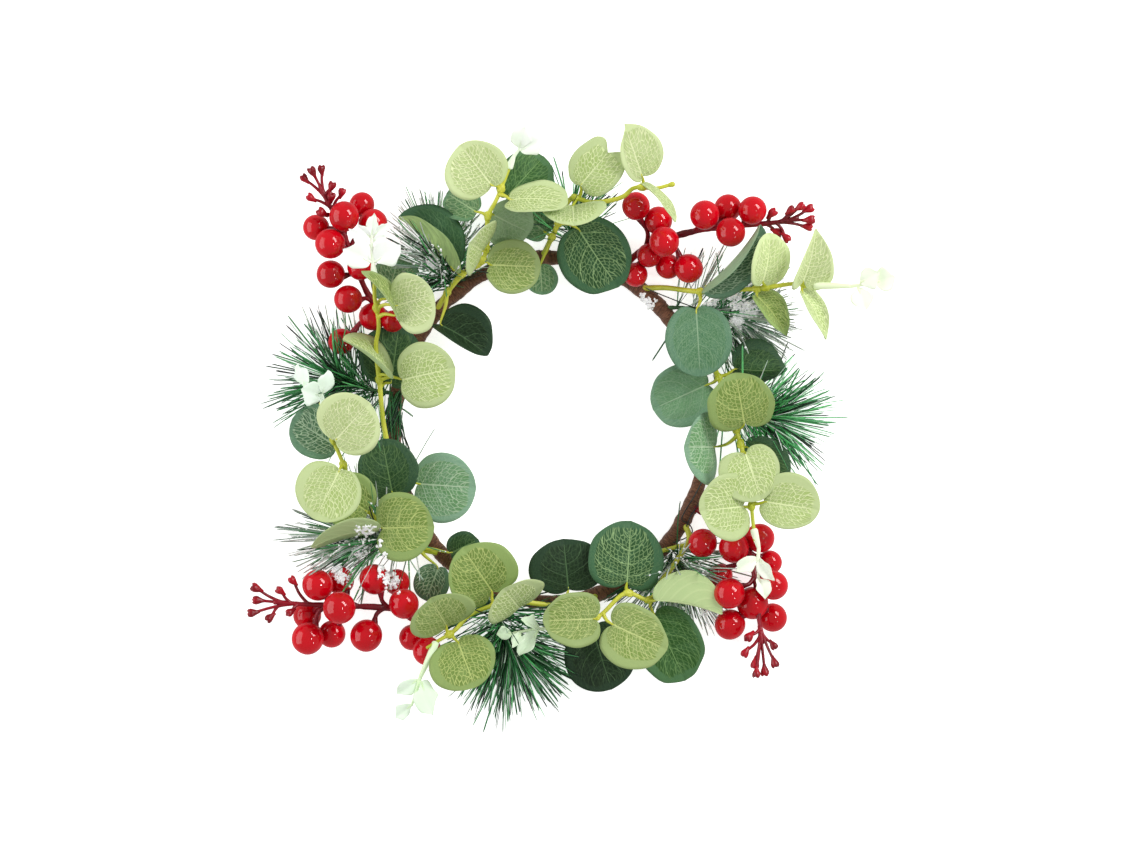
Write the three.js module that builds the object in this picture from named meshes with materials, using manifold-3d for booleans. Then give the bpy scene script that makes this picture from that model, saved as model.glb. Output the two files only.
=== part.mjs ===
// A small artificial Christmas wreath that lies flat, in millimetres, with +Z up.
// The ring's middle is at X = Y = 0 and its flat underside at Z = 0 while the pieces are placed.
// At the end the whole wreath is shifted, so that the origin is the middle of its underside.
import * as THREE from 'three';
import { mergeVertices } from 'three/addons/utils/BufferGeometryUtils.js';
import Module from 'manifold-3d';

const wasm = await Module();
wasm.setup();

// Ring, an oval rod wrapped in brown tape
const RING_HALF_X = 79;
const RING_HALF_Y = 87;
const RING_RADIUS = 3.4;
const RING_SIDES = 8;
const TAPE_WRAPS = 20; // an even number, so that wraps alternate all the way round
const TAPE_STEP = 0.07; // share of the radius by which every second wrap stands proud
const BINDING_SWELL = 0.5; // share of the radius that the tape adds where stems are bound in
const BINDING_REACH = 7; // along the ring, to where a swell has faded to about a third

// Stems and how they are seated
const SEAT_GAP = 0.3;
const EUCALYPTUS_STEM_RADIUS = 1.2;
const CLEAR_OF_TAPE = 12; // lowest place on a stem from which a leaf or berry grows
const PIN_RADIUS = 0.8; // stem end that a pale tip is pushed onto
const PIN_LENGTH = 6;
const PIN_OVERLAP = 1; // of the pin with the stem that it ends
const BARE_END_SWELL = 1.5; // share of the stem's radius
const SLEEVE_RADIUS = 1.9;
const SLEEVE_TRIM = 8; // length of the cut that squares off a sleeve's mouth
const TWIG_RADIUS = 0.9;
const BERRY_STEM_RADIUS = 1.4;
const PEDICEL_RADIUS = 0.9;
const PEDICEL_BACK = 5; // along the pick's stem, from beside a berry back to where its stalk grows
const BUD_RADIUS = 1.9;
const BUD_ROOT_RADIUS = 0.55;
const BUD_BACK = 4;
const PINE_CORE_RADIUS = 1.5;
const STEM_SIDES = 5;
const STEPS_PER_POINT = 1.15; // of a stem's course
const STEM_PLACES = 80; // along a stem, among which the nearest one to a leaf is found
const LAST_PLACE = 0.98; // share of a stem's length, past which nothing grows
const CORE_SIDES = 4;
const CORE_STEPS = 3;

// Leaves, as shares of a blade's length and width from its base to its tip
const BLADE_THICKNESS = 0.8;
const BLADE_ARCH = 0.06;
const BASE_LOBE = [-0.03, 0.2];
const BROAD_LEAF = {
  rim: [[0.16, 0.43], [0.45, 0.51], [0.74, 0.44], [0.97, 0.19]],
  midrib: [0.16, 0.45, 0.74, 0.93],
  width: 1.3, // of the stalk, which is a square bar
  lobed: true,
};
const SMALL_LEAF = { rim: [[0.35, 0.5], [0.88, 0.34]], midrib: [0.35, 0.95], width: 0.9, lobed: false };
const SMALL_BELOW = 20; // a leaf narrower than this takes the small outline

// Pine needles
const NEEDLE_RADIUS = 0.55;
const NEEDLE_LENGTH = 31;
const NEEDLE_CLEARANCE = 1.1; // from a needle's middle line to any other piece
const NEEDLE_SAMPLE = 1.5;
const LOWEST_NEEDLE = 1.5;
const GOLDEN_TURN = 2.39996;
const SPRIG_MIDDLE = 0.6; // share of the core, about which a sprig's neighbours are looked for
const FIRST_NEEDLE = 0.2; // share of the core's length
const LAST_NEEDLE = 0.99;
const NEEDLE_LEAN = [58, 20]; // degrees off the core, at its root and at its end
const NEEDLE_SCALES = [1, 0.7, 0.45]; // tried in turn
const ASIDE_TRIES = 7;
const ASIDE_TURN = 0.42;
const NEEDLE_FREE = 2.2; // core radii along a needle, to where it has left the core

// Leafy stems. A leaf is given by its blade's base and middle, its width, its roll about the
// midrib (positive lifts the left edge) and the angle to which both halves fold up.
const SPRAYS = {
  eucalyptus_spray_1: {
    stem: [[45, 71.5, 4.5], [58, 71.5, 13], [73.5, 69.5, 20], [88, 70, 25], [103, 70.5, 30],
      [124.5, 73, 35], [131, 72, 36]],
    leaves: [
      { base: [73, 60.5, 26], middle: [74, 43.5, 27], width: 33, roll: 0, fold: 6 },
      { base: [79, 70.5, 26], middle: [92, 84, 31], width: 28, roll: -76, fold: 4 },
      { base: [103, 74.5, 35], middle: [110, 85.5, 38], width: 27, roll: 42, fold: 8 },
      { base: [102.8, 67.5, 31], middle: [110.5, 57.5, 29], width: 25, roll: -55, fold: 12 },
      { base: [124.6, 77, 40], middle: [128.5, 89.5, 43], width: 27, roll: 58, fold: 8 },
      { base: [125.2, 69.5, 36], middle: [131.5, 57.5, 33], width: 25, roll: -65, fold: 10 },
    ],
  },
  eucalyptus_spray_2: {
    stem: [[-4, 87, 4.5], [2, 99, 17], [11, 115.5, 29], [21, 113.5, 31], [36, 116, 34],
      [42, 120.5, 35], [52.5, 120.2, 36], [60, 122, 36]],
    bare: true,
    leaves: [
      { base: [13.8, 101.5, 18], middle: [24, 86.5, 18], width: 37, roll: 14, fold: 4 },
      { base: [-2, 99, 13], middle: [-12, 108, 10], width: 22, roll: 0, fold: 8 },
      { base: [-5, 83, 12], middle: [-4.5, 75.5, 10], width: 16, roll: 0, fold: 6 },
      { base: [11.3, 112.5, 33], middle: [11.5, 106.8, 44], width: 32, roll: 0, fold: 6 },
      { base: [15, 121.5, 34], middle: [23, 131, 36], width: 26, roll: 0, fold: 8 },
      { base: [42.5, 126, 42], middle: [46.5, 138, 48], width: 27, roll: 0, fold: 8 },
      { base: [46, 122, 47], middle: [54, 112.5, 50], width: 22, roll: -75, fold: 8 },
    ],
  },
  eucalyptus_spray_3: {
    stem: [[-58, 59, 4.5], [-52, 69, 12], [-43, 79, 18], [-34.5, 83.5, 23], [-31, 95, 28],
      [-31, 106, 31], [-26.5, 115, 33.5], [-20.5, 130, 35]],
    leaves: [
      { base: [-33.5, 89, 31], middle: [-36.5, 90.5, 42.5], width: 30, roll: 0, fold: 6 },
      { base: [-30.5, 82.5, 26], middle: [-17.5, 82, 25], width: 27, roll: 0, fold: 6 },
      { base: [-51, 84, 20], middle: [-63.5, 95, 23], width: 32, roll: 42, fold: 50 },
      { base: [-28.5, 121, 38], middle: [-36.5, 131, 43], width: 32, roll: 0, fold: 6 },
      { base: [-20, 114.5, 38], middle: [-5.5, 113.5, 42], width: 27, roll: -50, fold: 6 },
      { base: [-29, 108, 24], middle: [-19.5, 103.5, 20], width: 26, roll: 10, fold: 6 },
      { base: [-22, 116, 28], middle: [-12.5, 126.5, 25], width: 27, roll: 0, fold: 8 },
      { base: [-53, 57, 12], middle: [-39.5, 50.5, 15], width: 28, roll: 8, fold: 18 },
      { base: [-37, 109, 26], middle: [-44.5, 114, 21], width: 19, roll: 0, fold: 8 },
    ],
  },
  eucalyptus_spray_4: {
    stem: [[-72, -36, 4.5], [-77, -25, 13], [-83, 0, 18], [-85.5, 25, 22], [-87, 42.5, 25],
      [-85.5, 52, 28], [-87.5, 67.5, 31], [-87.3, 75, 33]],
    leaves: [
      { base: [-67, -27, 14], middle: [-52, -28, 17], width: 35, roll: 0, fold: 6 },
      { base: [-79, -32.5, 19], middle: [-81.5, -18.5, 22], width: 30, roll: 0, fold: 6 },
      { base: [-74, 25, 28], middle: [-60.5, 28, 32], width: 33, roll: 0, fold: 6 },
      { base: [-83, 28.5, 27], middle: [-94, 37, 31], width: 30, roll: 50, fold: 50 },
      { base: [-75, 57.5, 31], middle: [-66, 62, 40], width: 31, roll: 0, fold: 8 },
      { base: [-80, 62, 36], middle: [-87, 70.5, 45], width: 24, roll: 74, fold: 6 },
      { base: [-80, 23, 15], middle: [-77, 36.5, 14], width: 26, roll: 0, fold: 6 },
      { base: [-81.5, 65.5, 17], middle: [-79, 76.5, 12], width: 24, roll: 0, fold: 6 },
    ],
  },
  eucalyptus_spray_5: {
    stem: [[-55, -62.5, 4.5], [-66, -59.5, 12], [-78, -53.5, 17], [-89, -42.5, 22], [-100, -25, 27],
      [-103.2, -16.7, 30], [-108, -5, 31], [-112.5, 8, 32]],
    leaves: [
      { base: [-107, -5.5, 36], middle: [-98, 4, 41], width: 34, roll: 0, fold: 6 },
      { base: [-104.5, -19.5, 34], middle: [-110.5, -32, 38], width: 33, roll: 0, fold: 6 },
      { base: [-91, -41, 27], middle: [-101, -34, 28], width: 28, roll: 0, fold: 6 },
      { base: [-84.5, -49, 30], middle: [-71, -48.5, 33], width: 34, roll: 0, fold: 6 },
      { base: [-86, -49, 30], middle: [-102.5, -53.5, 33], width: 29, roll: 108, fold: 6 },
      { base: [-107, -8, 26], middle: [-118, -1, 24], width: 27, roll: 0, fold: 6 },
      { base: [-50, -62, 12], middle: [-43, -58.5, 13], width: 16, roll: 0, fold: 8 },
      { base: [-56, -69, 12], middle: [-59.5, -77.5, 10], width: 18, roll: 0, fold: 8 },
    ],
  },
  eucalyptus_spray_6: {
    stem: [[26, -82.2, 4.5], [14, -87.5, 12], [-3, -87.5, 17], [-19.5, -86, 21], [-40, -92.5, 26],
      [-47.5, -100, 30], [-56.5, -105.5, 33]],
    leaves: [
      { base: [9.3, -80.5, 15], middle: [8, -67.5, 17], width: 38, roll: 0, fold: 6 },
      { base: [21, -99.5, 15], middle: [26, -115, 14], width: 36, roll: 0, fold: 6 },
      { base: [-28.5, -81.5, 25], middle: [-36, -70, 28], width: 35, roll: 0, fold: 6 },
      { base: [-15.5, -89, 24], middle: [-17, -86, 36.5], width: 34, roll: 0, fold: 8 },
      { base: [-51.2, -98, 34], middle: [-55, -90.5, 43], width: 34, roll: 0, fold: 6 },
      { base: [-46, -105, 32], middle: [-41.5, -116.5, 35], width: 34, roll: 0, fold: 6 },
    ],
  },
  eucalyptus_spray_7: {
    stem: [[67, -46, 4.5], [70, -54, 10], [64, -65, 16], [55, -77, 21], [50, -85, 24],
      [38, -81.5, 27], [25, -92.5, 29], [14, -97.5, 28]],
    leaves: [
      { base: [52, -87, 30], middle: [67.3, -82.3, 34], width: 32, roll: 124, fold: 8 },
      { base: [52, -92, 21], middle: [60, -109, 18], width: 33, roll: 0, fold: 6 },
      { base: [38.5, -77.5, 21], middle: [39.5, -61.5, 20], width: 37, roll: 0, fold: 6 },
      { base: [23.2, -94, 34], middle: [9.8, -94.4, 37], width: 27, roll: 0, fold: 6 },
      { base: [30.5, -96.5, 33], middle: [43, -103.2, 36], width: 32, roll: 0, fold: 6 },
    ],
  },
  eucalyptus_spray_8: {
    stem: [[60, 56, 4.5], [75, 42, 13], [84, 27.5, 20], [90, 10, 26], [94.7, -5.5, 30], [98, -20, 34],
      [100, -35.5, 36], [101.3, -49, 37]],
    leaves: [
      { base: [79.5, 23, 17], middle: [65.5, 16.7, 15], width: 31, roll: 0, fold: 6 },
      { base: [92, 30, 21], middle: [105, 35, 19], width: 28, roll: -18, fold: 8 },
      { base: [97, 2.5, 34], middle: [94.5, 15.5, 38], width: 33, roll: 0, fold: 6 },
      { base: [94.7, -9.5, 28], middle: [102, -22, 25], width: 29, roll: 0, fold: 6 },
      { base: [97, -38, 37], middle: [85.5, -39, 43], width: 33, roll: 0, fold: 6 },
      { base: [106, -34.5, 38], middle: [120.5, -36, 42], width: 29, roll: 0, fold: 6 },
      { base: [82, -8.5, 17], middle: [75.5, -8.5, 31], width: 36, roll: 0, fold: 6 },
      { base: [104, -5, 22], middle: [118, -13, 20], width: 27, roll: 0, fold: 6 },
    ],
  },
};

// Pale tips, each pushed onto the end of the leafy stem of the same number
const TIPS = {
  eucalyptus_tip_1: {
    twig: [[131.3, 72, 36], [149.5, 71.5, 38], [154, 72, 39], [162, 73, 40]],
    leaves: [
      { base: [153, 71, 39], middle: [155, 65.5, 40], width: 12, roll: 0, fold: 10 },
      { base: [154, 73, 40], middle: [158, 76, 43], width: 12, roll: 20, fold: 10 },
      { base: [161, 73, 40], middle: [166, 74.5, 41], width: 13, roll: 0, fold: 12 },
    ],
  },
  eucalyptus_tip_3: {
    twig: [[-20.5, 130.3, 35], [-18, 136, 36], [-15, 140, 37]],
    leaves: [
      { base: [-15, 139, 37], middle: [-9, 142, 39], width: 11, roll: 10, fold: 10 },
      { base: [-15.5, 140, 37], middle: [-14, 145, 40], width: 11, roll: 0, fold: 10 },
    ],
  },
  eucalyptus_tip_4: {
    twig: [[-87.3, 75.3, 33], [-88, 83, 36], [-88.5, 90, 38], [-88.5, 96, 39]],
    leaves: [
      { base: [-89, 83.5, 37], middle: [-95.5, 86.5, 40], width: 15, roll: 0, fold: 8 },
      { base: [-87, 83.5, 37], middle: [-80.8, 87.5, 40], width: 15, roll: 0, fold: 8 },
      { base: [-88.5, 95, 39], middle: [-87.5, 101, 41], width: 12, roll: 0, fold: 12 },
      { base: [-89.5, 92, 38], middle: [-95, 96.5, 40], width: 8, roll: 0, fold: 12 },
    ],
  },
  eucalyptus_tip_5: {
    twig: [[-112.5, 8.3, 32], [-113.5, 17, 34], [-117, 20, 35], [-122, 21.5, 35]],
    leaves: [
      { base: [-114, 17, 34.5], middle: [-118.5, 18.5, 38], width: 13, roll: 0, fold: 8 },
      { base: [-113.2, 18, 35], middle: [-111.8, 23.7, 36], width: 9, roll: 20, fold: 10 },
      { base: [-122, 21.5, 35], middle: [-123.5, 27, 36], width: 9, roll: 30, fold: 10 },
    ],
  },
  eucalyptus_tip_6: {
    twig: [[-56.8, -105.7, 33], [-64.5, -123, 33], [-66.5, -130, 33], [-69, -137.5, 33]],
    leaves: [
      { base: [-66, -124.5, 33], middle: [-71, -128, 32], width: 9, roll: -20, fold: 10 },
      { base: [-64.3, -125, 34], middle: [-61.3, -133, 36], width: 13, roll: 0, fold: 8 },
      { base: [-69, -137, 33], middle: [-73, -140.3, 32], width: 8, roll: 0, fold: 10 },
    ],
  },
  eucalyptus_tip_7: {
    twig: [[13.7, -97.6, 28], [2, -99, 28], [-6.8, -99.5, 28], [-17.5, -101.2, 28]],
    leaves: [
      { base: [-6, -100.5, 29], middle: [-11, -106.5, 30], width: 13, roll: 0, fold: 8 },
      { base: [-5, -99, 29], middle: [-9.5, -96.6, 31], width: 9, roll: 40, fold: 10 },
      { base: [-14.5, -101.5, 30], middle: [-16.5, -104.5, 34.5], width: 10, roll: 0, fold: 8 },
      { base: [-18.7, -101.5, 28], middle: [-22.6, -101.7, 28], width: 10, roll: 0, fold: 10 },
    ],
  },
  eucalyptus_tip_8: {
    twig: [[101.4, -49.3, 37], [103.8, -58.5, 37], [103.5, -64.5, 37], [103.7, -75, 37]],
    leaves: [
      { base: [103.3, -64, 37], middle: [98, -67.5, 38], width: 10, roll: 0, fold: 10 },
      { base: [103.8, -63.5, 37], middle: [107.5, -69, 39], width: 10, roll: 30, fold: 10 },
      { base: [103.7, -74, 37], middle: [106, -79.8, 38], width: 12, roll: 0, fold: 8 },
    ],
  },
};

// Berry picks: berries by middle and radius, buds by their heads
const PICKS = {
  berry_pick_1: {
    stem: [[34, 78.5, 4.5], [43, 88, 9], [56, 95, 17], [75, 100, 23], [95, 102, 26], [115, 104, 28],
      [124, 106, 28]],
    berries: [
      [43, 112, 24, 7], [54.3, 105, 19, 7], [57, 94, 30, 7.5], [77.2, 107.2, 31, 7.3], [89, 111.2, 22, 6.8],
      [101, 109.5, 31, 7], [90, 98.5, 34, 7.3], [69.5, 81, 19, 7.2], [43, 78, 15.5, 6], [49.5, 87.5, 19, 6],
    ],
    buds: [[111.5, 109, 31], [121, 110.5, 29], [126, 112, 30], [130.5, 111, 27], [131, 105, 29],
      [130, 101.5, 26], [119, 95.2, 27], [115, 98.5, 24]],
  },
  berry_pick_2: {
    stem: [[71, -38, 4.5], [84, -46, 11], [97, -57, 17], [102, -70, 22], [104, -90, 25], [105.8, -107, 27]],
    berries: [
      [76.5, -56.7, 20, 7.2], [92, -58.9, 24, 7.6], [105.2, -54.2, 18, 7.3], [85.7, -73.2, 14, 6],
      [89.5, -81.5, 30, 7.7], [111.5, -77.5, 28, 7.3], [110.5, -66.5, 13, 6], [101.4, -86.7, 21, 8],
      [90.2, -97.5, 20, 7.6], [111.9, -94.3, 13, 7.2],
    ],
    buds: [[96.9, -112.2, 27], [112.2, -108.4, 28], [112.5, -117.3, 29], [102.3, -117.9, 26],
      [103, -122.5, 29], [107.5, -121.8, 26], [98.5, -104, 30]],
  },
  berry_pick_3: {
    stem: [[-38, -76, 4.5], [-46, -88, 8], [-55, -97, 11], [-66, -96, 16], [-78, -90, 20],
      [-105, -88, 23], [-125, -87, 25], [-138, -86, 26]],
    berries: [
      [-116.1, -77.5, 26, 7.7], [-105.5, -75.7, 15, 7], [-104.8, -88.5, 35, 8.1], [-121.2, -104.3, 24, 8],
      [-109.6, -102.5, 15, 6.8], [-92, -103, 22, 8], [-122.1, -93.2, 13, 7], [-87.8, -74.7, 24, 7.5],
      [-73, -86.8, 27, 7.5], [-69.4, -104.3, 12, 6.5], [-61.5, -110.5, 23, 7.2],
      [-77, -76.5, 14, 6.5],
    ],
    buds: [[-148, -78.5, 28], [-147.5, -85, 25], [-149.8, -91.5, 28], [-141, -94.5, 26], [-135.5, -79.5, 29],
      [-129.5, -74.5, 25]],
  },
  berry_pick_4: {
    stem: [[-66, 47, 4.5], [-78, 55, 10], [-90, 66, 15], [-98, 84, 21], [-104, 100, 24],
      [-110, 112, 26], [-115, 122, 28]],
    berries: [
      [-94.6, 113.2, 14, 6.3], [-117.2, 101.5, 20, 6.5], [-102.6, 106.5, 31, 7.5], [-88.7, 103.5, 22, 7.2],
      [-109.6, 93, 30, 7.5], [-109.8, 78, 22, 7], [-95, 81.5, 24, 6.5], [-101, 65.5, 23, 7], [-89, 57, 14, 7],
      [-105, 44.5, 13, 6.5], [-79, 54.5, 18, 5.5],
    ],
    buds: [[-114.2, 131, 30], [-123.5, 126.5, 27], [-119, 130, 31], [-108.5, 122.7, 29], [-103.7, 119.7, 27],
      [-120.5, 116.6, 27], [-109, 117.2, 31], [-114.8, 109, 30]],
  },
};

// Pine sprigs by the course of the core
const SPRIGS = {
  pine_sprig_1: { core: [[-48, 69, 4.5], [-54, 84, 8], [-59, 104, 13]], needles: 24 },
  pine_sprig_2: { core: [[-77, 18, 4.5], [-93, 26, 9], [-121, 33, 16]], needles: 29 },
  pine_sprig_3: { core: [[-62, -54, 4.5], [-84, -57, 8], [-112, -46, 14]], needles: 27 },
  pine_sprig_4: { core: [[-28, -81, 4.5], [-25, -97, 9], [-17, -121, 15]], needles: 29 },
  pine_sprig_5: { core: [[60, -57, 4.5], [69, -72, 7], [74, -92, 11]], needles: 23 },
  pine_sprig_6: { core: [[78, 10, 4.5], [93, 8, 10], [116, 4, 16]], needles: 29 },
  pine_sprig_7: { core: [[56, 62, 4.5], [74, 60, 9], [99, 54, 14]], needles: 25 },
  pine_sprig_8: { core: [[14, 86, 4.5], [12, 99, 8], [7, 116, 13]], needles: 23 },
};

const LEAF_GREEN = { color: 0x93ad6c, roughness: 0.6, metalness: 0 };
const PALE_MINT = { color: 0xe4f2e0, roughness: 0.5, metalness: 0 };
const BERRY_RED = { color: 0xc4121f, roughness: 0.15, metalness: 0 };
const PINE_GREEN = { color: 0x1d5233, roughness: 0.6, metalness: 0 };
const TAPE_BROWN = { color: 0x5f3823, roughness: 0.7, metalness: 0 };

const vector = (point) => new THREE.Vector3(point[0], point[1], point[2]);

// A closed geometry as a solid for joining and cutting
function toSolid(geometry) {
  geometry.deleteAttribute('normal');
  geometry.deleteAttribute('uv');
  const merged = mergeVertices(geometry, 1e-5);
  return new wasm.Manifold(new wasm.Mesh({
    numProp: 3,
    vertProperties: new Float32Array(merged.attributes.position.array),
    triVerts: new Uint32Array(merged.index.array),
  }));
}

function toGeometry(solid) {
  const mesh = solid.getMesh();
  const geometry = new THREE.BufferGeometry();
  geometry.setAttribute('position', new THREE.BufferAttribute(mesh.vertProperties, 3));
  geometry.setIndex(new THREE.BufferAttribute(mesh.triVerts, 1));
  geometry.computeVertexNormals();
  return geometry;
}

function join(solids) {
  return solids.reduce((whole, piece) => whole.add(piece));
}

const stemSteps = (stem) => Math.round(STEPS_PER_POINT * stem.length);

// A round bar with flat ends along a smooth path
function bar(points, radius, sides, steps) {
  const path = new THREE.CatmullRomCurve3(points, false, 'centripetal');
  const section = new THREE.Shape();
  for (let i = 0; i < sides; i += 1) {
    const turn = (i / sides) * 2 * Math.PI;
    section[i === 0 ? 'moveTo' : 'lineTo'](radius * Math.cos(turn), radius * Math.sin(turn));
  }
  return toSolid(new THREE.ExtrudeGeometry(section, { steps, bevelEnabled: false, extrudePath: path }));
}

// A straight piece, thick at the start and thinner or pointed at the end
function spike(start, end, startRadius, endRadius, sides) {
  const length = start.distanceTo(end);
  const geometry = endRadius > 0
    ? new THREE.CylinderGeometry(endRadius, startRadius, length, sides)
    : new THREE.ConeGeometry(startRadius, length, sides);
  const aim = end.clone().sub(start).normalize();
  geometry.applyQuaternion(new THREE.Quaternion().setFromUnitVectors(new THREE.Vector3(0, 1, 0), aim));
  const middle = start.clone().lerp(end, 0.5);
  geometry.translate(middle.x, middle.y, middle.z);
  return toSolid(geometry);
}

function ball(middle, radius) {
  const geometry = new THREE.SphereGeometry(radius, 7, 4);
  geometry.translate(middle.x, middle.y, middle.z);
  return toSolid(geometry);
}

function knot(middle, radius) {
  const geometry = new THREE.OctahedronGeometry(radius);
  geometry.translate(middle.x, middle.y, middle.z);
  return toSolid(geometry);
}

// Place of a point on a blade, by its share of the length and its share of the width to the left
function bladePoint(leaf, along, across) {
  const base = vector(leaf.base);
  const axis = vector(leaf.middle).sub(base);
  const length = 2 * axis.length();
  axis.normalize();
  const left = new THREE.Vector3(-axis.y, axis.x, 0).normalize();
  left.applyAxisAngle(axis, THREE.MathUtils.degToRad(leaf.roll));
  const up = axis.clone().cross(left);
  const fold = THREE.MathUtils.degToRad(leaf.fold);
  const lift = Math.abs(across) * leaf.width * Math.sin(fold) + BLADE_ARCH * length * 4 * along * (1 - along);
  const point = base.addScaledVector(axis, along * length);
  point.addScaledVector(left, across * leaf.width * Math.cos(fold)).addScaledVector(up, lift);
  return { point, up };
}

// A thin arched blade on a square stalk that starts at its root. Both faces are split into
// triangles alike, in rows of left, middle and right from the root to the tip.
function leafOnStalk(leaf, root, { rim, midrib, width, lobed }) {
  const { point: base, up } = bladePoint(leaf, 0, 0);
  const left = bladePoint(leaf, 0, 0.5).point.sub(bladePoint(leaf, 0, -0.5).point).normalize();
  const back = base.clone().sub(root).cross(left).normalize().multiplyScalar(0.5 * width);
  const thin = up.clone().multiplyScalar(0.5 * BLADE_THICKNESS);
  const thick = thin.clone().add(back).multiplyScalar(0.5);
  const beside = left.clone().multiplyScalar(0.5 * width);
  const stalk = lobed ? [[root, back], [base, thick]] : [[root, back]];
  const rows = stalk.map(([middle, shift]) => [
    [middle.clone().add(beside), shift],
    [middle, shift],
    [middle.clone().sub(beside), shift],
  ]);
  rim.forEach(([along, across], i) => {
    const places = [[along, across], [midrib[i], 0], [along, -across]];
    rows.push(places.map(([share, aside]) => [bladePoint(leaf, share, aside).point, thin]));
  });
  const lobes = !lobed ? [] : [BASE_LOBE[1], -BASE_LOBE[1]]
    .map((aside) => [bladePoint(leaf, BASE_LOBE[0], aside).point, thin]);
  const places = [...rows.flat(), ...lobes];
  const above = places.map(([place, shift]) => place.clone().add(shift));
  const below = places.map(([place, shift]) => place.clone().sub(shift));
  const half = places.length;
  const faces = [];
  const addBoth = (a, b, c) => faces.push(a, b, c, half + a, half + c, half + b);
  for (let row = 0; row < rows.length - 1; row += 1) {
    const [a, b, c] = [3 * row, 3 * row + 1, 3 * row + 2];
    const [d, e, f] = [a + 3, b + 3, c + 3];
    addBoth(a, b, e);
    addBoth(a, e, d);
    addBoth(b, c, e);
    addBoth(c, f, e);
  }
  const [leftLobe, rightLobe] = lobed ? [half - 2, half - 1] : [];
  if (lobed) {
    addBoth(3, 6, leftLobe);
    addBoth(5, rightLobe, 8);
  }
  const last = 3 * (rows.length - 1);
  const edge = lobed ? [0, 3, leftLobe] : [0];
  for (let row = stalk.length; row < rows.length; row += 1) edge.push(3 * row);
  edge.push(last + 1);
  for (let row = rows.length - 1; row >= stalk.length; row -= 1) edge.push(3 * row + 2);
  if (lobed) edge.push(rightLobe, 5);
  edge.push(2, 1);
  edge.forEach((p, i) => {
    const q = edge[(i + 1) % edge.length];
    faces.push(p, q, half + q, p, half + q, half + p);
  });
  const geometry = new THREE.BufferGeometry().setFromPoints([...above, ...below]);
  geometry.setIndex(faces);
  return toSolid(geometry);
}

// Point of a smooth stem that is nearest to a leaf or berry, a little towards the stem's root
function nearestOnStem(points, target, back) {
  const path = new THREE.CatmullRomCurve3(points, false, 'centripetal');
  const places = path.getSpacedPoints(STEM_PLACES);
  let lowest = 0;
  while (places[lowest].z < CLEAR_OF_TAPE) lowest += 1;
  let best = lowest;
  for (let i = lowest; i < places.length; i += 1) {
    if (places[i].distanceTo(target) < places[best].distanceTo(target)) best = i;
  }
  const share = Math.max(lowest / STEM_PLACES, best / STEM_PLACES - back / path.getLength());
  return path.getPointAt(Math.min(share, LAST_PLACE));
}

function leafyStem({ stem, bare, leaves }) {
  const points = stem.map(vector);
  const solids = [bar(points, EUCALYPTUS_STEM_RADIUS, STEM_SIDES, stemSteps(stem))];
  const end = points[points.length - 1];
  const aim = end.clone().sub(points[points.length - 2]).normalize();
  if (bare) {
    solids.push(knot(end, BARE_END_SWELL * EUCALYPTUS_STEM_RADIUS));
  } else {
    const pinRoot = end.clone().addScaledVector(aim, -PIN_OVERLAP);
    const pinEnd = end.clone().addScaledVector(aim, PIN_LENGTH);
    solids.push(spike(pinRoot, pinEnd, PIN_RADIUS, PIN_RADIUS, 4));
  }
  for (const leaf of leaves) {
    const root = nearestOnStem(points, vector(leaf.base), 0);
    solids.push(leafOnStalk(leaf, root, leaf.width < SMALL_BELOW ? SMALL_LEAF : BROAD_LEAF));
  }
  return join(solids);
}

// A pale sleeve with a blind hole for the stem's pin, and its twig with small leaves
function paleTip({ twig, leaves }, stem) {
  const points = twig.map(vector);
  const solids = [
    bar([points[0].clone().lerp(points[1], 0.9), ...points.slice(1)], TWIG_RADIUS, 4, 3),
    spike(points[0], points[1], SLEEVE_RADIUS, 1.1 * TWIG_RADIUS, 6),
  ];
  for (const leaf of leaves) {
    const root = nearestOnStem(points.slice(1), vector(leaf.base), 0);
    solids.push(leafOnStalk(leaf, root, SMALL_LEAF));
  }
  const end = vector(stem[stem.length - 1]);
  const aim = end.clone().sub(vector(stem[stem.length - 2])).normalize();
  const mouth = end.clone().addScaledVector(aim, SEAT_GAP);
  const outside = end.clone().addScaledVector(aim, -SLEEVE_TRIM);
  const trim = spike(outside, mouth, 2 * SLEEVE_RADIUS, 2 * SLEEVE_RADIUS, 4);
  const bottom = end.clone().addScaledVector(aim, PIN_LENGTH + SEAT_GAP);
  const holeRadius = PIN_RADIUS + 1.5 * SEAT_GAP;
  const hole = spike(end, bottom, holeRadius, holeRadius, 4);
  return join(solids).subtract(trim).subtract(hole);
}

function berryPick({ stem, berries, buds }) {
  const points = stem.map(vector);
  const solids = [bar(points, BERRY_STEM_RADIUS, STEM_SIDES, stemSteps(stem))];
  for (const berry of berries) {
    const middle = vector(berry);
    const root = nearestOnStem(points, middle, PEDICEL_BACK);
    solids.push(spike(root, middle, PEDICEL_RADIUS, PEDICEL_RADIUS, 3));
    solids.push(ball(middle, berry[3]));
  }
  for (const head of buds) {
    const top = vector(head);
    const root = nearestOnStem(points, top, BUD_BACK);
    solids.push(spike(root, top, BUD_ROOT_RADIUS, BUD_RADIUS, 4));
  }
  return join(solids);
}

// Triangles of finished pieces near a place, for keeping needles clear
function trianglesNear(solids, middle, reach) {
  const found = [];
  for (const solid of solids) {
    const { vertProperties, triVerts } = solid.getMesh();
    for (let i = 0; i < triVerts.length; i += 3) {
      const places = [0, 1, 2].map((k) => 3 * triVerts[i + k]);
      const corners = places.map((at) => new THREE.Vector3().fromArray(vertProperties, at));
      const triangle = new THREE.Triangle(...corners);
      const centre = triangle.getMidpoint(new THREE.Vector3());
      const radius = Math.max(...corners.map((corner) => corner.distanceTo(centre)));
      if (centre.distanceTo(middle) < reach + radius) found.push({ triangle, centre, radius });
    }
  }
  return found;
}

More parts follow.
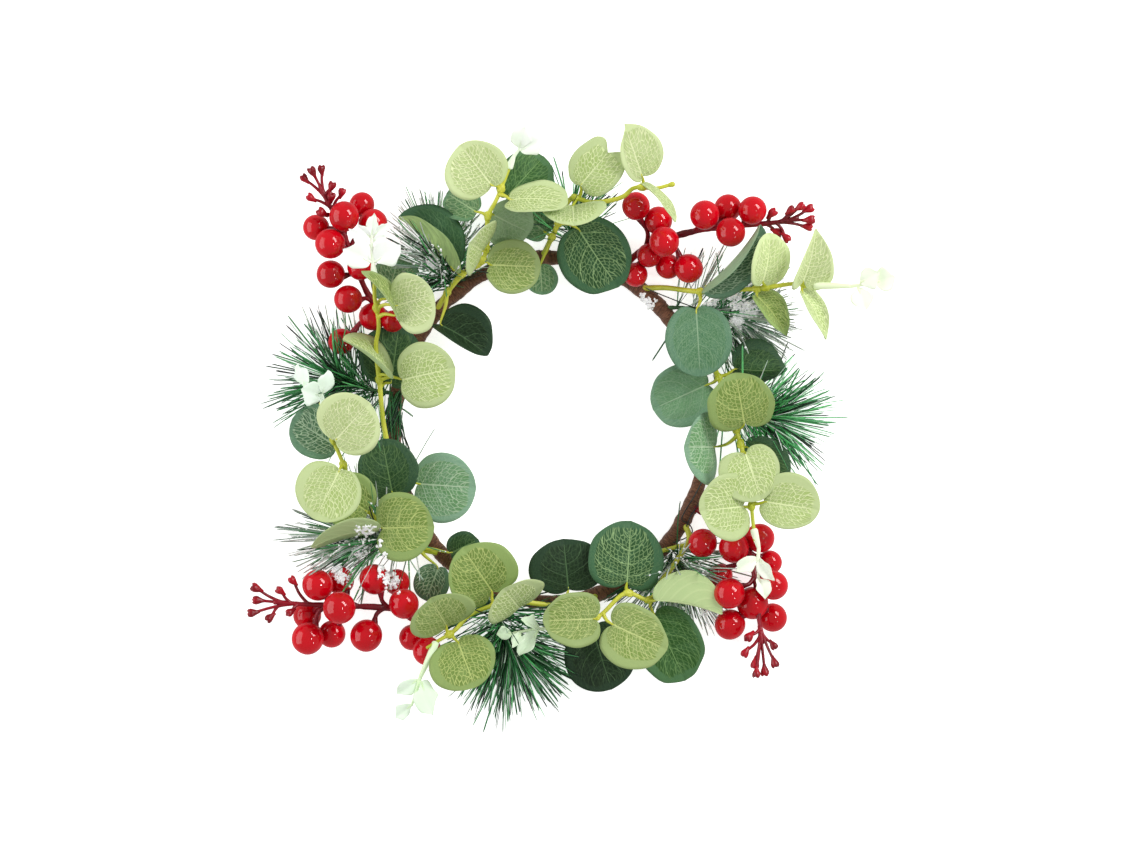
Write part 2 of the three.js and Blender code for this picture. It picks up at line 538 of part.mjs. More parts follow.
function needleIsClear(root, tip, triangles) {
  const length = root.distanceTo(tip);
  const samples = Math.ceil(length / NEEDLE_SAMPLE);
  const nearest = new THREE.Vector3();
  for (let i = 0; i <= samples; i += 1) {
    const place = root.clone().lerp(tip, i / samples);
    for (const { triangle, centre, radius } of triangles) {
      if (centre.distanceTo(place) > radius + NEEDLE_CLEARANCE) continue;
      triangle.closestPointToPoint(place, nearest);
      if (nearest.distanceTo(place) < NEEDLE_CLEARANCE) return false;
    }
  }
  return true;
}

// Lifts a unit vector to a least slope and keeps its length
function keepAbove(aim, slope) {
  if (aim.z >= slope) return;
  const level = Math.sqrt(1 - slope ** 2) / Math.hypot(aim.x, aim.y);
  aim.set(aim.x * level, aim.y * level, slope);
}

// Needles stand all round a slim core and fan out past its end. One that would meet another piece
// or the surface below is bent aside, then tried shorter, and left out if neither clears it.
function pineSprig({ core, needles }, others) {
  const points = core.map(vector);
  const path = new THREE.CatmullRomCurve3(points, false, 'centripetal');
  const solids = [bar(points, PINE_CORE_RADIUS, CORE_SIDES, CORE_STEPS)];
  const sprigReach = SPRIG_MIDDLE * path.getLength() + NEEDLE_LENGTH + PINE_CORE_RADIUS;
  const triangles = trianglesNear(others, path.getPointAt(SPRIG_MIDDLE), sprigReach);
  for (let i = 0; i < needles; i += 1) {
    const share = FIRST_NEEDLE + (LAST_NEEDLE - FIRST_NEEDLE) * Math.sqrt((i + 0.5) / needles);
    const root = path.getPointAt(share);
    const forward = path.getTangentAt(share);
    const level = new THREE.Vector3(-forward.y, forward.x, 0).normalize();
    const raised = forward.clone().cross(level);
    const reach = NEEDLE_LENGTH + PINE_CORE_RADIUS;
    const near = triangles.filter(({ centre, radius }) => centre.distanceTo(root) < radius + reach);
    const lean = THREE.MathUtils.degToRad(THREE.MathUtils.lerp(...NEEDLE_LEAN, share ** 3));
    let placed = false;
    for (const scale of NEEDLE_SCALES) {
      for (let attempt = 0; attempt < ASIDE_TRIES && !placed; attempt += 1) {
        const aside = (attempt % 2 === 0 ? 1 : -1) * Math.ceil(attempt / 2) * ASIDE_TURN;
        const turn = i * GOLDEN_TURN + aside;
        const aim = forward.clone().multiplyScalar(Math.cos(lean));
        aim.addScaledVector(level, Math.sin(lean) * Math.cos(turn));
        aim.addScaledVector(raised, Math.sin(lean) * Math.sin(turn));
        const length = NEEDLE_LENGTH * scale;
        keepAbove(aim, (LOWEST_NEEDLE - root.z) / length);
        const tip = root.clone().addScaledVector(aim, length);
        const clearOf = root.clone().addScaledVector(aim, NEEDLE_FREE * PINE_CORE_RADIUS);
        if (needleIsClear(clearOf, tip, near)) {
          solids.push(spike(root, tip, NEEDLE_RADIUS, 0, 3));
          placed = true;
        }
      }
      if (placed) break;
    }
  }
  return join(solids);
}

// Blind hole that seats the root of a stem, following the stem itself
function seatHole(stem, radius, sides, steps) {
  const points = stem.map(vector);
  const aim = points[1].clone().sub(points[0]).normalize();
  points[0].addScaledVector(aim, -2 * SEAT_GAP);
  return bar(points, radius + SEAT_GAP / Math.cos(Math.PI / sides), sides, steps);
}

// The ring is turned as a round one and then drawn out to an oval, with the tape's wraps standing
// proud in turn and swelling where stems are bound in. Its underside stays flat.
function tapedRing(roots) {
  const profile = [];
  for (let i = 0; i <= RING_SIDES; i += 1) {
    const turn = (((i % RING_SIDES) + 0.5) / RING_SIDES) * 2 * Math.PI;
    profile.push(new THREE.Vector2(RING_HALF_X + RING_RADIUS * Math.cos(turn), RING_RADIUS * Math.sin(turn)));
  }
  const geometry = new THREE.LatheGeometry(profile, 2 * TAPE_WRAPS);
  geometry.rotateX(Math.PI / 2);
  const places = geometry.attributes.position;
  const flat = RING_RADIUS * Math.cos(Math.PI / RING_SIDES);
  for (let i = 0; i < places.count; i += 1) {
    const turn = Math.atan2(places.getY(i), places.getX(i));
    const out = Math.hypot(places.getX(i), places.getY(i)) - RING_HALF_X;
    const centre = new THREE.Vector2(RING_HALF_X * Math.cos(turn), RING_HALF_Y * Math.sin(turn));
    const outward = new THREE.Vector2(Math.cos(turn) / RING_HALF_X, Math.sin(turn) / RING_HALF_Y).normalize();
    const nearest = Math.min(...roots.map(([x, y]) => Math.hypot(x - centre.x, y - centre.y)));
    const swell = BINDING_SWELL * Math.exp(-((nearest / BINDING_REACH) ** 2));
    const wrap = Math.round((turn / Math.PI) * TAPE_WRAPS) % 2 === 0 ? 0 : TAPE_STEP;
    const grown = 1 + swell + wrap;
    const place = centre.addScaledVector(outward, out * grown);
    places.setXYZ(i, place.x, place.y, (places.getZ(i) + flat) * grown);
  }
  return toSolid(geometry);
}

const stems = [...Object.values(SPRAYS), ...Object.values(PICKS)].map(({ stem }) => stem);
const cores = Object.values(SPRIGS).map(({ core }) => core);
let ring = tapedRing([...stems, ...cores].map((stem) => stem[0]));
for (const { stem } of Object.values(SPRAYS)) {
  ring = ring.subtract(seatHole(stem, EUCALYPTUS_STEM_RADIUS, STEM_SIDES, stemSteps(stem)));
}
for (const { stem } of Object.values(PICKS)) {
  ring = ring.subtract(seatHole(stem, BERRY_STEM_RADIUS, STEM_SIDES, stemSteps(stem)));
}
for (const core of cores) ring = ring.subtract(seatHole(core, PINE_CORE_RADIUS, CORE_SIDES, CORE_STEPS));

const pieces = { wrapped_ring: [ring, TAPE_BROWN] };
for (const [name, spray] of Object.entries(SPRAYS)) pieces[name] = [leafyStem(spray), LEAF_GREEN];
for (const [name, tip] of Object.entries(TIPS)) {
  const { stem } = SPRAYS[name.replace('tip', 'spray')];
  pieces[name] = [paleTip(tip, stem), PALE_MINT];
}
for (const [name, pick] of Object.entries(PICKS)) pieces[name] = [berryPick(pick), BERRY_RED];
for (const [name, sprig] of Object.entries(SPRIGS)) {
  pieces[name] = [pineSprig(sprig, Object.values(pieces).map(([solid]) => solid)), PINE_GREEN];
}

const wreath = new THREE.Group();
for (const [name, [solid, finish]] of Object.entries(pieces)) {
  const mesh = new THREE.Mesh(toGeometry(solid), new THREE.MeshStandardMaterial(finish));
  mesh.name = name;
  wreath.add(mesh);
}
const extent = new THREE.Box3().setFromObject(wreath);
const middle = extent.getCenter(new THREE.Vector3());
wreath.position.set(-middle.x, -middle.y, -extent.min.z);

export default wreath;
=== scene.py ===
"""A small artificial Christmas wreath: fine meshes that stand in for the plain solids of its part.

Places and sizes are in millimetres from the middle of the ring, with the ring's underside at
height 0, and are moved into the row frame, in metres, when a piece is made.
"""

from math import cos, exp, pi, radians, sin

import bpy
import numpy as np
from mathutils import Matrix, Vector
from mathutils.bvhtree import BVHTree
from numpy.linalg import norm


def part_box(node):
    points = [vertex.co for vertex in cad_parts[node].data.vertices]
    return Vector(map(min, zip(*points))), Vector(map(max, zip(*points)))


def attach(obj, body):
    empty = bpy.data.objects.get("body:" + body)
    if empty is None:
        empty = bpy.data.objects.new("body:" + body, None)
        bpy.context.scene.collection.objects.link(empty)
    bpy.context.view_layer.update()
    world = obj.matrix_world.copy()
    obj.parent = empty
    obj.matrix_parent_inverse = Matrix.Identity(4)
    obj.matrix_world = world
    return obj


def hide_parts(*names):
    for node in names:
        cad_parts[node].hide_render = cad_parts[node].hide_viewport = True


SEED = 20
MM = 0.001

# Ring
RING_HALF_X = 79
RING_HALF_Y = 87
RING_RADIUS = 3.4
RING_STEPS = 960
RING_SIDES = 22
RING_LOW_CORNER = (-82.381, -90.141)  # of the ring's own box, which gives its middle in the row frame
RING_FLAT = 3.14  # height of the ring's middle line over its flat underside
TAPE_PITCH = 5.2
TAPE_EDGE = 0.07  # share of the radius by which a wrap's edge stands proud
LOOSE_WIRES = [  # thin ends of binding wire that lie on the tape
    [(76.5, -26, 9), (72.5, -33.5, 10), (67.3, -42, 10.5), (66.3, -45, 10), (70.6, -48.2, 9),
     (71.6, -51.5, 8), (68, -54.5, 9), (62, -56.8, 8.5)],
    [(78.5, -30, 7), (75, -37, 8.5), (70.5, -44, 8.5), (68.6, -49, 8)],
]
WIRE_RADIUS = 0.32
BINDING_SWELL = 0.18  # share of the radius, where a stem is bound in
BINDING_REACH = 7

# Stems
STEM_STEPS = 160  # in which a stem is searched for the place where a leaf or berry grows
STEM_RADIUS = 1.25
CLEAR_OF_TAPE = 12  # height from which leaves and berries grow
PIN_LENGTH = 6
CAP_RISE = 0.4  # how far a tube's end bulges, as a share of its radius
KNOB_RADII = (0.75, 1.15, 1.5, 1.35, 1.55, 1.25, 0.8)
KNOB_GAP = 4.5  # between the places where leaves grow, for each to have its own collar
BERRY_STEM_RADIUS = 1.8
PEDICEL_BACK = 8  # how far towards the root a berry's stalk leaves its stem
BUD_BACK = 4
BUD_PROFILE = [  # along, radius and how far it is drawn into points
    (-4.4, 0.6, 0), (-3.2, 0.9, 0), (-1.9, 1.5, 0.1), (-0.7, 1.95, 0.3), (0.3, 1.85, 0.6), (0.9, 1.25, 0.8),
    (0.6, 0.6, 0.5),
]
BUD_SIDES = 12
CORE_RADIUS = 1.0

# Leaves
BLADE_ARCH = 0.06
BLADE_THICKNESS = 0.5
MIDRIB_DENT = 0.35  # depth of the groove over the midrib
MIDRIB_WIDTH = 0.9
LEAF_ROWS = 30
LEAF_COLUMNS = 9  # on each side of the midrib
LEAF_RIPPLE = 0.35  # height of the waves in the rim
TIP_ROWS = 16
TIP_COLUMNS = 5
TIP_RIPPLE = 0.4
TIP_RAGGED = 0.045  # how unevenly a tip's leaf is cut, as a share of its size
LEAF_OUTLINES = {  # points of one half, along and across, as shares of the length and width
    "round": [(0.015, 0.0), (-0.03, 0.07), (-0.035, 0.2), (0.05, 0.345), (0.2, 0.455), (0.45, 0.51),
              (0.7, 0.455), (0.88, 0.315), (0.97, 0.15), (1.0, 0.0)],
    "heart": [(0.05, 0.0), (-0.03, 0.06), (-0.075, 0.19), (-0.03, 0.36), (0.14, 0.475), (0.4, 0.515),
              (0.66, 0.46), (0.86, 0.31), (0.965, 0.14), (1.0, 0.0)],
    "pointed": [(0.02, 0.0), (-0.03, 0.08), (-0.03, 0.22), (0.07, 0.37), (0.25, 0.475), (0.48, 0.49),
                (0.7, 0.39), (0.86, 0.235), (0.96, 0.09), (1.02, 0.0)],
    "notched": [(0.02, 0.0), (-0.03, 0.08), (-0.03, 0.22), (0.06, 0.36), (0.24, 0.47), (0.5, 0.51),
                (0.76, 0.47), (0.97, 0.37), (1.05, 0.22), (0.87, 0.0)],
    "spade": [(0.06, 0.0), (-0.04, 0.08), (-0.1, 0.25), (-0.02, 0.42), (0.16, 0.5), (0.4, 0.45),
              (0.62, 0.34), (0.8, 0.21), (0.94, 0.08), (1.02, 0.0)],
}
LEAF_SHAPES = {  # by spray and leaf; the others are round
    (1, 4): "pointed", (1, 5): "spade", (1, 6): "pointed", (2, 5): "notched", (2, 6): "pointed",
    (2, 7): "pointed", (4, 6): "pointed", (5, 4): "heart", (6, 3): "heart", (7, 3): "heart", (7, 4): "heart",
    (7, 5): "heart", (8, 2): "pointed", (8, 3): "heart", (8, 4): "heart", (8, 5): "heart",
}
LEAF_SKEWS = {(2, 6): -0.15, (3, 3): -0.16, (8, 6): 0.08}  # how much fuller one half is; others draw theirs
TIP_OUTLINE = [(0.0, 0.06), (0.12, 0.2), (0.34, 0.42), (0.56, 0.5), (0.76, 0.37), (0.9, 0.19), (1.04, 0.0)]

# Needles
NEEDLE_WIDTH = 0.8
NEEDLE_GLOW = 1.25  # how much lighter than their tints the needles are
NEEDLES_IN_TUFT = 8
TUFT_LEAN = 66  # degrees from the core, near its root
FIRST_TUFT = 0.1  # share of the core
GOLDEN_TURN = 2.39996
LOWEST_AIM = 0.8  # height that a needle's straight line keeps over the underside
LOWEST = 0.15  # height that every needle and crumb keeps
FROSTED_SHARE = 0.8  # of a snowy sprig's needles, at the end of its core
SNOW_REACH = 4.2  # from the middle of a clump
SNOW_CRUMBS = 3  # at a place on a needle
SNOW_SPOTS = 70
SNOW_SPREAD = (2.2, 4.0)
SNOW_DROP = 14  # how far over and under its middle a clump's crumbs look for something to lie on
VEIL_SPREAD = (4.5, 4.5, 1.2)
PINE_TINTS = [(72, 160, 90), (98, 182, 112), (52, 136, 74), (80, 152, 98), (40, 102, 58), (26, 66, 40),
              (30, 42, 34), (186, 208, 190)]
FROSTED_TINTS = [(218, 224, 218), (186, 198, 188), (244, 246, 244), (140, 166, 148), (170, 178, 172)]
SHADED_TINTS = [(34, 80, 46), (26, 60, 36), (44, 100, 58), (22, 42, 30), (58, 116, 70)]  # of veils
STRAY_TINTS = [(112, 140, 120), (126, 156, 134)]

# Surroundings
FLOOR_HALF = 16.0
FLOOR_GLOW = 0.72
WORLD_GLOW = 0.38
LIGHTS = {  # place and size in metres, and power
    "window": ((1.1, 0.9, 1.15), (1.2, 0.55), 22),
    "round_lamp": ((0.75, -0.1, 1.5), (0.14, 0.14), 3.5),
    "low_lamp": ((1.0, -0.85, 0.92), (0.11, 0.11), 1.2),
    "left_panel": ((-1.5, 0.1, 0.7), (2.2, 1.3), 20),
}

# Leaf tones: between the veins, the veins, the plain rim and the underside (sRGB), then how strongly
# the net, the side veins and the frost show, and the size of the net's cells
TONES = {
    "palest": ((184, 203, 134), (238, 246, 194), (208, 222, 166), (196, 214, 160), (0.9, 0.95, 0.1, 2.1)),
    "light": ((166, 188, 113), (228, 239, 182), (190, 206, 149), (178, 200, 142), (0.95, 0.95, 0.12, 2.1)),
    "leafy": ((124, 149, 73), (202, 214, 140), (154, 174, 112), (168, 190, 128), (0.82, 0.95, 0.15, 2.0)),
    "olive": ((109, 135, 61), (194, 208, 126), (142, 166, 98), (168, 188, 130), (0.82, 0.95, 0.15, 2.0)),
    "misty": ((98, 148, 96), (192, 216, 182), (128, 166, 138), (150, 184, 152), (0.6, 1.0, 0.3, 2.1)),
    "hazy": ((98, 142, 100), (162, 192, 156), (112, 152, 122), (150, 184, 152), (0.25, 0.45, 0.45, 2.0)),
    "bluish": ((72, 116, 78), (146, 178, 142), (92, 132, 104), (140, 176, 146), (0.22, 0.4, 0.5, 2.0)),
    "mid": ((78, 118, 72), (160, 186, 140), (96, 136, 100), (138, 168, 132), (0.75, 0.8, 0.3, 2.2)),
    "dull": ((130, 160, 118), (172, 194, 154), (144, 170, 132), (150, 178, 144), (0.4, 0.5, 0.35, 2.0)),
    "teal": ((66, 104, 70), (180, 205, 170), (90, 128, 100), (152, 182, 142), (0.95, 1.0, 0.25, 2.2)),
    "netted": ((34, 74, 34), (152, 183, 126), (62, 102, 70), (130, 162, 120), (0.65, 1.0, 0.15, 2.0)),
    "fresh": ((42, 84, 30), (116, 154, 92), (74, 114, 72), (136, 168, 122), (0.5, 0.9, 0.2, 2.2)),
    "folded": ((56, 94, 60), (110, 148, 102), (66, 104, 74), (182, 208, 138), (0.3, 0.5, 0.25, 2.2)),
    "dark": ((36, 70, 34), (110, 142, 90), (54, 86, 62), (186, 212, 140), (0.32, 0.75, 0.35, 2.3)),
    "deep": ((21, 42, 20), (86, 116, 78), (38, 62, 42), (110, 142, 106), (0.27, 0.75, 0.25, 2.2)),
}

# Leafy stems by their course and leaves. A leaf is its blade's base and middle, its width and its tone,
# then, where they aren't 0 and 6 degrees, its roll about the midrib, which lifts the left edge, and the
# angle to which both halves fold up.
SPRAYS = {
    1: ([(45, 71.5, 4.5), (58, 71.5, 13), (73.5, 69.5, 20), (88, 70, 25), (103, 70.5, 30), (124.5, 73, 35),
         (131, 72, 36)], [
        ((73, 60.5, 26), (74, 43.5, 27), 33, "bluish"), ((77, 70.5, 26), (91, 86.3, 31), 28, "teal", 50, 54),
        ((106, 72.5, 35), (107.7, 85.2, 38), 25, "palest", 40, 8),
        ((102.8, 67.5, 31), (110.5, 57.5, 29), 25, "olive", -55, 12),
        ((125.6, 72.5, 39), (128.8, 86, 42), 27, "palest", 40, 25),
        ((125.2, 69.5, 36), (131.5, 57.5, 33), 25, "light", -65, 10),
    ]),
    2: ([(-4, 87, 4.5), (2, 99, 17), (11, 115.5, 29), (21, 113.5, 31), (36, 116, 34), (42, 120.5, 35),
         (52.5, 120.2, 36), (60, 122, 36)], [
        ((13.8, 101.5, 18), (24, 86.5, 18), 37, "netted", 14, 4),
        ((-2, 99, 13), (-12, 108, 10), 22, "mid", 0, 8), ((-5, 83, 12), (-4.5, 75.5, 10), 16, "mid"),
        ((11.3, 112.5, 33), (11.5, 106.8, 44), 32, "light"),
        ((15, 121.5, 34), (23, 131, 36), 26, "light", 0, 8),
        ((46, 125.5, 40), (41.5, 138.3, 43), 22, "palest"),
        ((46, 122, 47), (54, 112.5, 50), 22, "light", -75, 8),
    ]),
    3: ([(-58, 59, 4.5), (-52, 69, 12), (-43, 79, 18), (-34.5, 83.5, 23), (-31, 95, 28), (-31, 106, 31),
         (-26.5, 115, 33.5), (-20.5, 130, 35)], [
        ((-33.5, 89, 31), (-36.5, 90.5, 42.5), 30, "light"),
        ((-30.5, 82.5, 26), (-17.5, 82, 25), 27, "leafy"),
        ((-48, 80.3, 20), (-62, 93.5, 22), 27, "folded", 75, 80),
        ((-28.5, 121, 38), (-36.5, 131, 43), 32, "palest"),
        ((-20, 114.5, 38), (-5.5, 113.5, 42), 27, "light", -50, 6),
        ((-29, 108, 24), (-19.5, 103.5, 20), 26, "dull", 10, 6),
        ((-22, 116, 28), (-12.5, 126.5, 25), 27, "fresh", 0, 8),
        ((-56, 53.5, 12), (-43.5, 45.5, 15), 33, "deep", -36, 38),
        ((-37, 109, 26), (-44.5, 114, 21), 19, "mid", 0, 8),
    ]),
    4: ([(-72, -36, 4.5), (-77, -25, 13), (-83, 0, 18), (-85.5, 25, 22), (-87, 42.5, 25), (-85.5, 52, 28),
         (-87.5, 67.5, 31), (-87.3, 75, 33)], [
        ((-67, -27, 14), (-52, -28, 17), 35, "misty"), ((-79, -32.5, 19), (-81.5, -18.5, 22), 30, "dark"),
        ((-74, 25, 28), (-60.5, 28, 32), 33, "light"),
        ((-80, 27, 27), (-91.5, 36.2, 31), 27, "light", 77, 20),
        ((-77, 61.5, 36.5), (-67.3, 64.4, 38.5), 31, "palest"),
        ((-75.5, 56.5, 36), (-84, 67.5, 42), 20, "leafy", 72, 16),
        ((-80, 23, 15), (-78, 37.5, 14), 32, "dark"), ((-81.5, 65.5, 17), (-79, 76.5, 12), 24, "mid"),
    ]),
    5: ([(-55, -62.5, 4.5), (-66, -59.5, 12), (-78, -53.5, 17), (-89, -42.5, 22), (-100, -25, 27),
         (-103.2, -16.7, 30), (-108, -5, 31), (-112.5, 8, 32)], [
        ((-107, -5.5, 36), (-98, 4, 41), 34, "palest"), ((-104.5, -19.5, 34), (-110.5, -32, 38), 33, "light"),
        ((-91, -41, 27), (-101, -34, 28), 28, "olive"), ((-84.5, -49, 30), (-71, -48.5, 33), 34, "olive"),
        ((-86, -49, 30), (-102.5, -53.5, 33), 29, "light", 108, 6),
        ((-107, -8, 26), (-118, -1, 24), 27, "teal"), ((-50, -62, 12), (-43, -58.5, 13), 16, "dark", 0, 8),
        ((-56, -69, 12), (-59.5, -77.5, 10), 18, "teal", 0, 8),
    ]),
    6: ([(26, -82.2, 4.5), (14, -87.5, 12), (-3, -87.5, 17), (-19.5, -86, 21), (-40, -92.5, 26),
         (-47.5, -100, 30), (-56.5, -105.5, 33)], [
        ((9.3, -80.5, 15), (8, -67.5, 17), 38, "deep"), ((21, -99.5, 15), (26, -115, 14), 36, "deep"),
        ((-28.5, -81.5, 25), (-36, -70, 28), 35, "olive"),
        ((-15.5, -89, 27), (-19.2, -83.8, 35), 33, "light", 0, 8),
        ((-51.2, -98, 34), (-55, -90.5, 43), 34, "leafy"),
        ((-46, -105, 32), (-41.5, -116.5, 35), 34, "olive"),
    ]),
    7: ([(67, -46, 4.5), (70, -54, 10), (64, -65, 16), (55, -77, 21), (50, -85, 24), (38, -81.5, 27),
         (25, -92.5, 29), (14, -97.5, 28)], [
        ((52, -84.5, 30), (69, -88, 31), 31, "light", 225, 45), ((52, -92, 21), (60, -109, 18), 33, "fresh"),
        ((38.5, -77.5, 21), (39.5, -61.5, 20), 37, "netted"),
        ((23.2, -94, 34), (9.8, -94.4, 37), 27, "leafy"),
        ((30.5, -96.5, 33), (44.4, -102.8, 36), 31, "leafy"),
    ]),
    8: ([(60, 56, 4.5), (75, 42, 13), (84, 27.5, 20), (90, 10, 26), (94.7, -5.5, 30), (98, -20, 34),
         (100, -35.5, 36), (101.3, -49, 37)], [
        ((79.5, 23, 17), (65.5, 16.7, 15), 31, "hazy"),
        ((92, 30.5, 21), (105.3, 30.3, 20), 33, "dark", 34, -36),
        ((97, 2.5, 34), (94.5, 15.5, 38), 33, "olive"), ((97, -11, 38), (101, -23, 39), 30, "light"),
        ((97, -38, 37), (85.5, -39, 43), 33, "light"), ((106, -35.5, 38), (119.8, -37.6, 42), 28, "light"),
        ((83, -8.5, 18), (74.8, -8.5, 31), 36, "misty"), ((98, -8, 22), (108.5, -16.5, 20), 25, "dark"),
    ]),
}

# A second stem that leaves the ring beside its spray's own
STRANDS = {7: [(72, -57, 9), (65, -58.5, 11), (56, -61, 12), (46, -65, 11)]}

# Pale tips, each pushed onto the end of the leafy stem of the same number: the colours of its leaves
# and of its sleeve and twig (sRGB), its course, and its leaves by base, middle, width, roll and fold
TIPS = {
    1: ((242, 248, 230), (230, 238, 204), [(131.3, 72, 36), (149.5, 71.5, 38), (154, 72, 39),
         (162, 73, 40)], [
        ((153, 71, 39), (155, 65.5, 40), 12, 0, 10), ((154, 73, 40), (158.5, 75.5, 42), 12, 0, 10),
        ((161, 73, 40), (166, 74.5, 41), 13, 0, 12),
    ]),
    3: ((248, 252, 246), (238, 245, 230), [(-20.5, 130.3, 35), (-18, 136, 36), (-15, 140, 37)], [
        ((-15, 139, 37), (-9, 142, 39), 11, 10, 10), ((-15.5, 140, 37), (-14, 145, 40), 11, 0, 10),
    ]),
    4: ((250, 252, 249), (238, 246, 226), [(-87.3, 75.3, 33), (-88, 83, 36), (-88.5, 90, 38),
         (-88.5, 96, 39)], [
        ((-89, 83.5, 37), (-95.5, 86.5, 40), 15, 0, 8), ((-87, 83.5, 37), (-80.8, 87.5, 40), 15, 0, 8),
        ((-88.5, 96.5, 39), (-87.8, 101.8, 41), 6.5, 0, 20),
        ((-87.8, 96.5, 39), (-84, 99.4, 40.5), 6, 20, 20), ((-88.8, 95.5, 38.5), (-92, 98.6, 40), 6, -20, 20),
        ((-88.3, 94, 38), (-84.8, 94.8, 40), 5.5, 0, 20), ((-89, 90.5, 37.5), (-94.2, 95, 40), 6, 0, 15),
    ]),
    5: ((238, 248, 240), (228, 240, 224), [(-112.5, 8.3, 32), (-113.5, 17, 34), (-117, 20, 35),
         (-122, 21.5, 35)], [
        ((-114, 17, 34.5), (-118.5, 18.5, 38), 13, 0, 8), ((-113.2, 18, 35), (-111.8, 23.7, 36), 9, 20, 10),
        ((-122, 21.5, 35), (-123.5, 27, 36), 9, 30, 10),
    ]),
    6: ((230, 244, 226), (222, 240, 202), [(-56.8, -105.7, 33), (-64.5, -123, 33), (-66.5, -130, 33),
         (-69, -137.5, 33)], [
        ((-66, -124.5, 33), (-71, -128, 32), 9, -20, 10), ((-64.3, -125, 34), (-61.3, -133, 36), 13, 0, 8),
        ((-69, -137, 33), (-73, -140.3, 32), 8, 0, 10),
    ]),
    7: ((216, 232, 206), (216, 230, 196), [(13.7, -97.6, 28), (2, -99, 28), (-6.8, -99.5, 28),
         (-17.5, -101.2, 28)], [
        ((-6, -100.5, 29), (-11, -106.5, 30), 10, 15, 30), ((-5, -99, 29), (-9.5, -96.6, 31), 8, 40, 20),
        ((-14.5, -101.5, 30), (-16.5, -104.5, 34.5), 7, 0, 25),
        ((-18.7, -101.5, 28), (-22.6, -101.7, 28), 8, 15, 25),
    ]),
    8: ((240, 244, 230), (234, 240, 216), [(101.4, -49.3, 37), (103.8, -58.5, 37), (103.5, -64.5, 37),
         (103.7, -75, 37)], [
        ((103.3, -64, 37), (98, -67, 38), 9, 0, 25), ((103.8, -63.5, 37), (107.5, -69, 39), 9, 30, 30),
        ((103.7, -73, 37), (105.3, -78.3, 38), 9, -15, 30),
    ]),
}

# Berry picks by their course, berries as middle and radius, and the heads of the buds
PICKS = {
    1: (
        [(34, 78.5, 4.5), (43, 88, 9), (56, 95, 17), (75, 100, 23), (95, 102, 26), (115, 104, 28),
         (124, 106, 28)],
        [(43, 112, 24, 7), (54.3, 105, 19, 7), (57, 94, 30, 7.5), (77.2, 107.2, 31, 7.3),
         (89, 111.2, 22, 6.8), (101, 109.5, 31, 7), (90, 98.5, 34, 7.3), (69.5, 81, 19, 7.2),
         (43, 78, 15.5, 6), (49.5, 87.5, 19, 6), (59.3, 82.3, 13, 6.3)],
        [(111.5, 109, 31), (121, 110.5, 29), (126, 112, 30), (130.5, 111, 27), (131, 105, 29),
         (130, 101.5, 26), (119, 95.2, 27), (115, 98.5, 24)],
    ),
    2: (
        [(71, -38, 4.5), (84, -46, 11), (97, -57, 17), (102, -70, 22), (104, -90, 25), (105.8, -107, 27)],
        [(76.5, -56.7, 20, 7.2), (92, -58.9, 24, 7.6), (105.2, -54.2, 18, 7.3), (85.7, -73.2, 14, 6),
         (89.5, -81.5, 30, 7.7), (111.5, -77.5, 28, 7.3), (110.5, -66.5, 13, 6), (101.4, -86.7, 21, 8),
         (90.2, -97.5, 20, 7.6), (111.9, -94.3, 13, 7.2)],
        [(96.9, -112.2, 27), (112.2, -108.4, 28), (112.5, -117.3, 29), (102.3, -117.9, 26), (103, -122.5, 29),
         (107.5, -121.8, 26), (98.5, -104, 30)],
    ),
    3: (
        [(-38, -76, 4.5), (-46, -88, 8), (-55, -97, 11), (-66, -96, 16), (-78, -90, 20), (-105, -88, 23),
         (-125, -87, 25), (-138, -86, 26)],
        [(-116.1, -77.5, 26, 7.7), (-105.5, -75.7, 15, 7), (-104.8, -88.5, 35, 8.1), (-121.2, -104.3, 24, 8),
         (-109.6, -102.5, 15, 6.8), (-92, -103, 22, 8), (-122.1, -93.2, 13, 7), (-87.8, -74.7, 24, 7.5),
         (-73, -86.8, 27, 7.5), (-69.4, -104.3, 12, 6.5), (-61.5, -110.5, 23, 7.2), (-77, -76.5, 14, 6.5)],
        [(-148, -78.5, 28), (-147.5, -85, 25), (-149.8, -91.5, 28), (-141, -94.5, 26), (-135.5, -79.5, 29),
         (-129.5, -74.5, 25), (-130.5, -91.5, 29)],
    ),
    4: (
        [(-66, 47, 4.5), (-78, 55, 10), (-90, 66, 15), (-98, 84, 21), (-104, 100, 24), (-110, 112, 26),
         (-115, 122, 28)],
        [(-94.6, 113.2, 14, 6.3), (-117.2, 101.5, 20, 6.5), (-102.6, 106.5, 31, 7.5), (-88.7, 103.5, 22, 7.2),
         (-109.6, 93, 30, 7.5), (-109.8, 78, 22, 7), (-95, 81.5, 24, 6.5), (-101, 65.5, 23, 7),
         (-89, 57, 14, 7), (-105, 44.5, 13, 6.5), (-79, 54.5, 18, 5.5)],
        [(-114.2, 131, 30), (-123.5, 126.5, 27), (-119, 130, 31), (-108.5, 122.7, 29), (-103.7, 119.7, 27),
         (-120.5, 116.6, 27), (-109, 117.2, 31), (-114.8, 109, 30)],
    ),
}

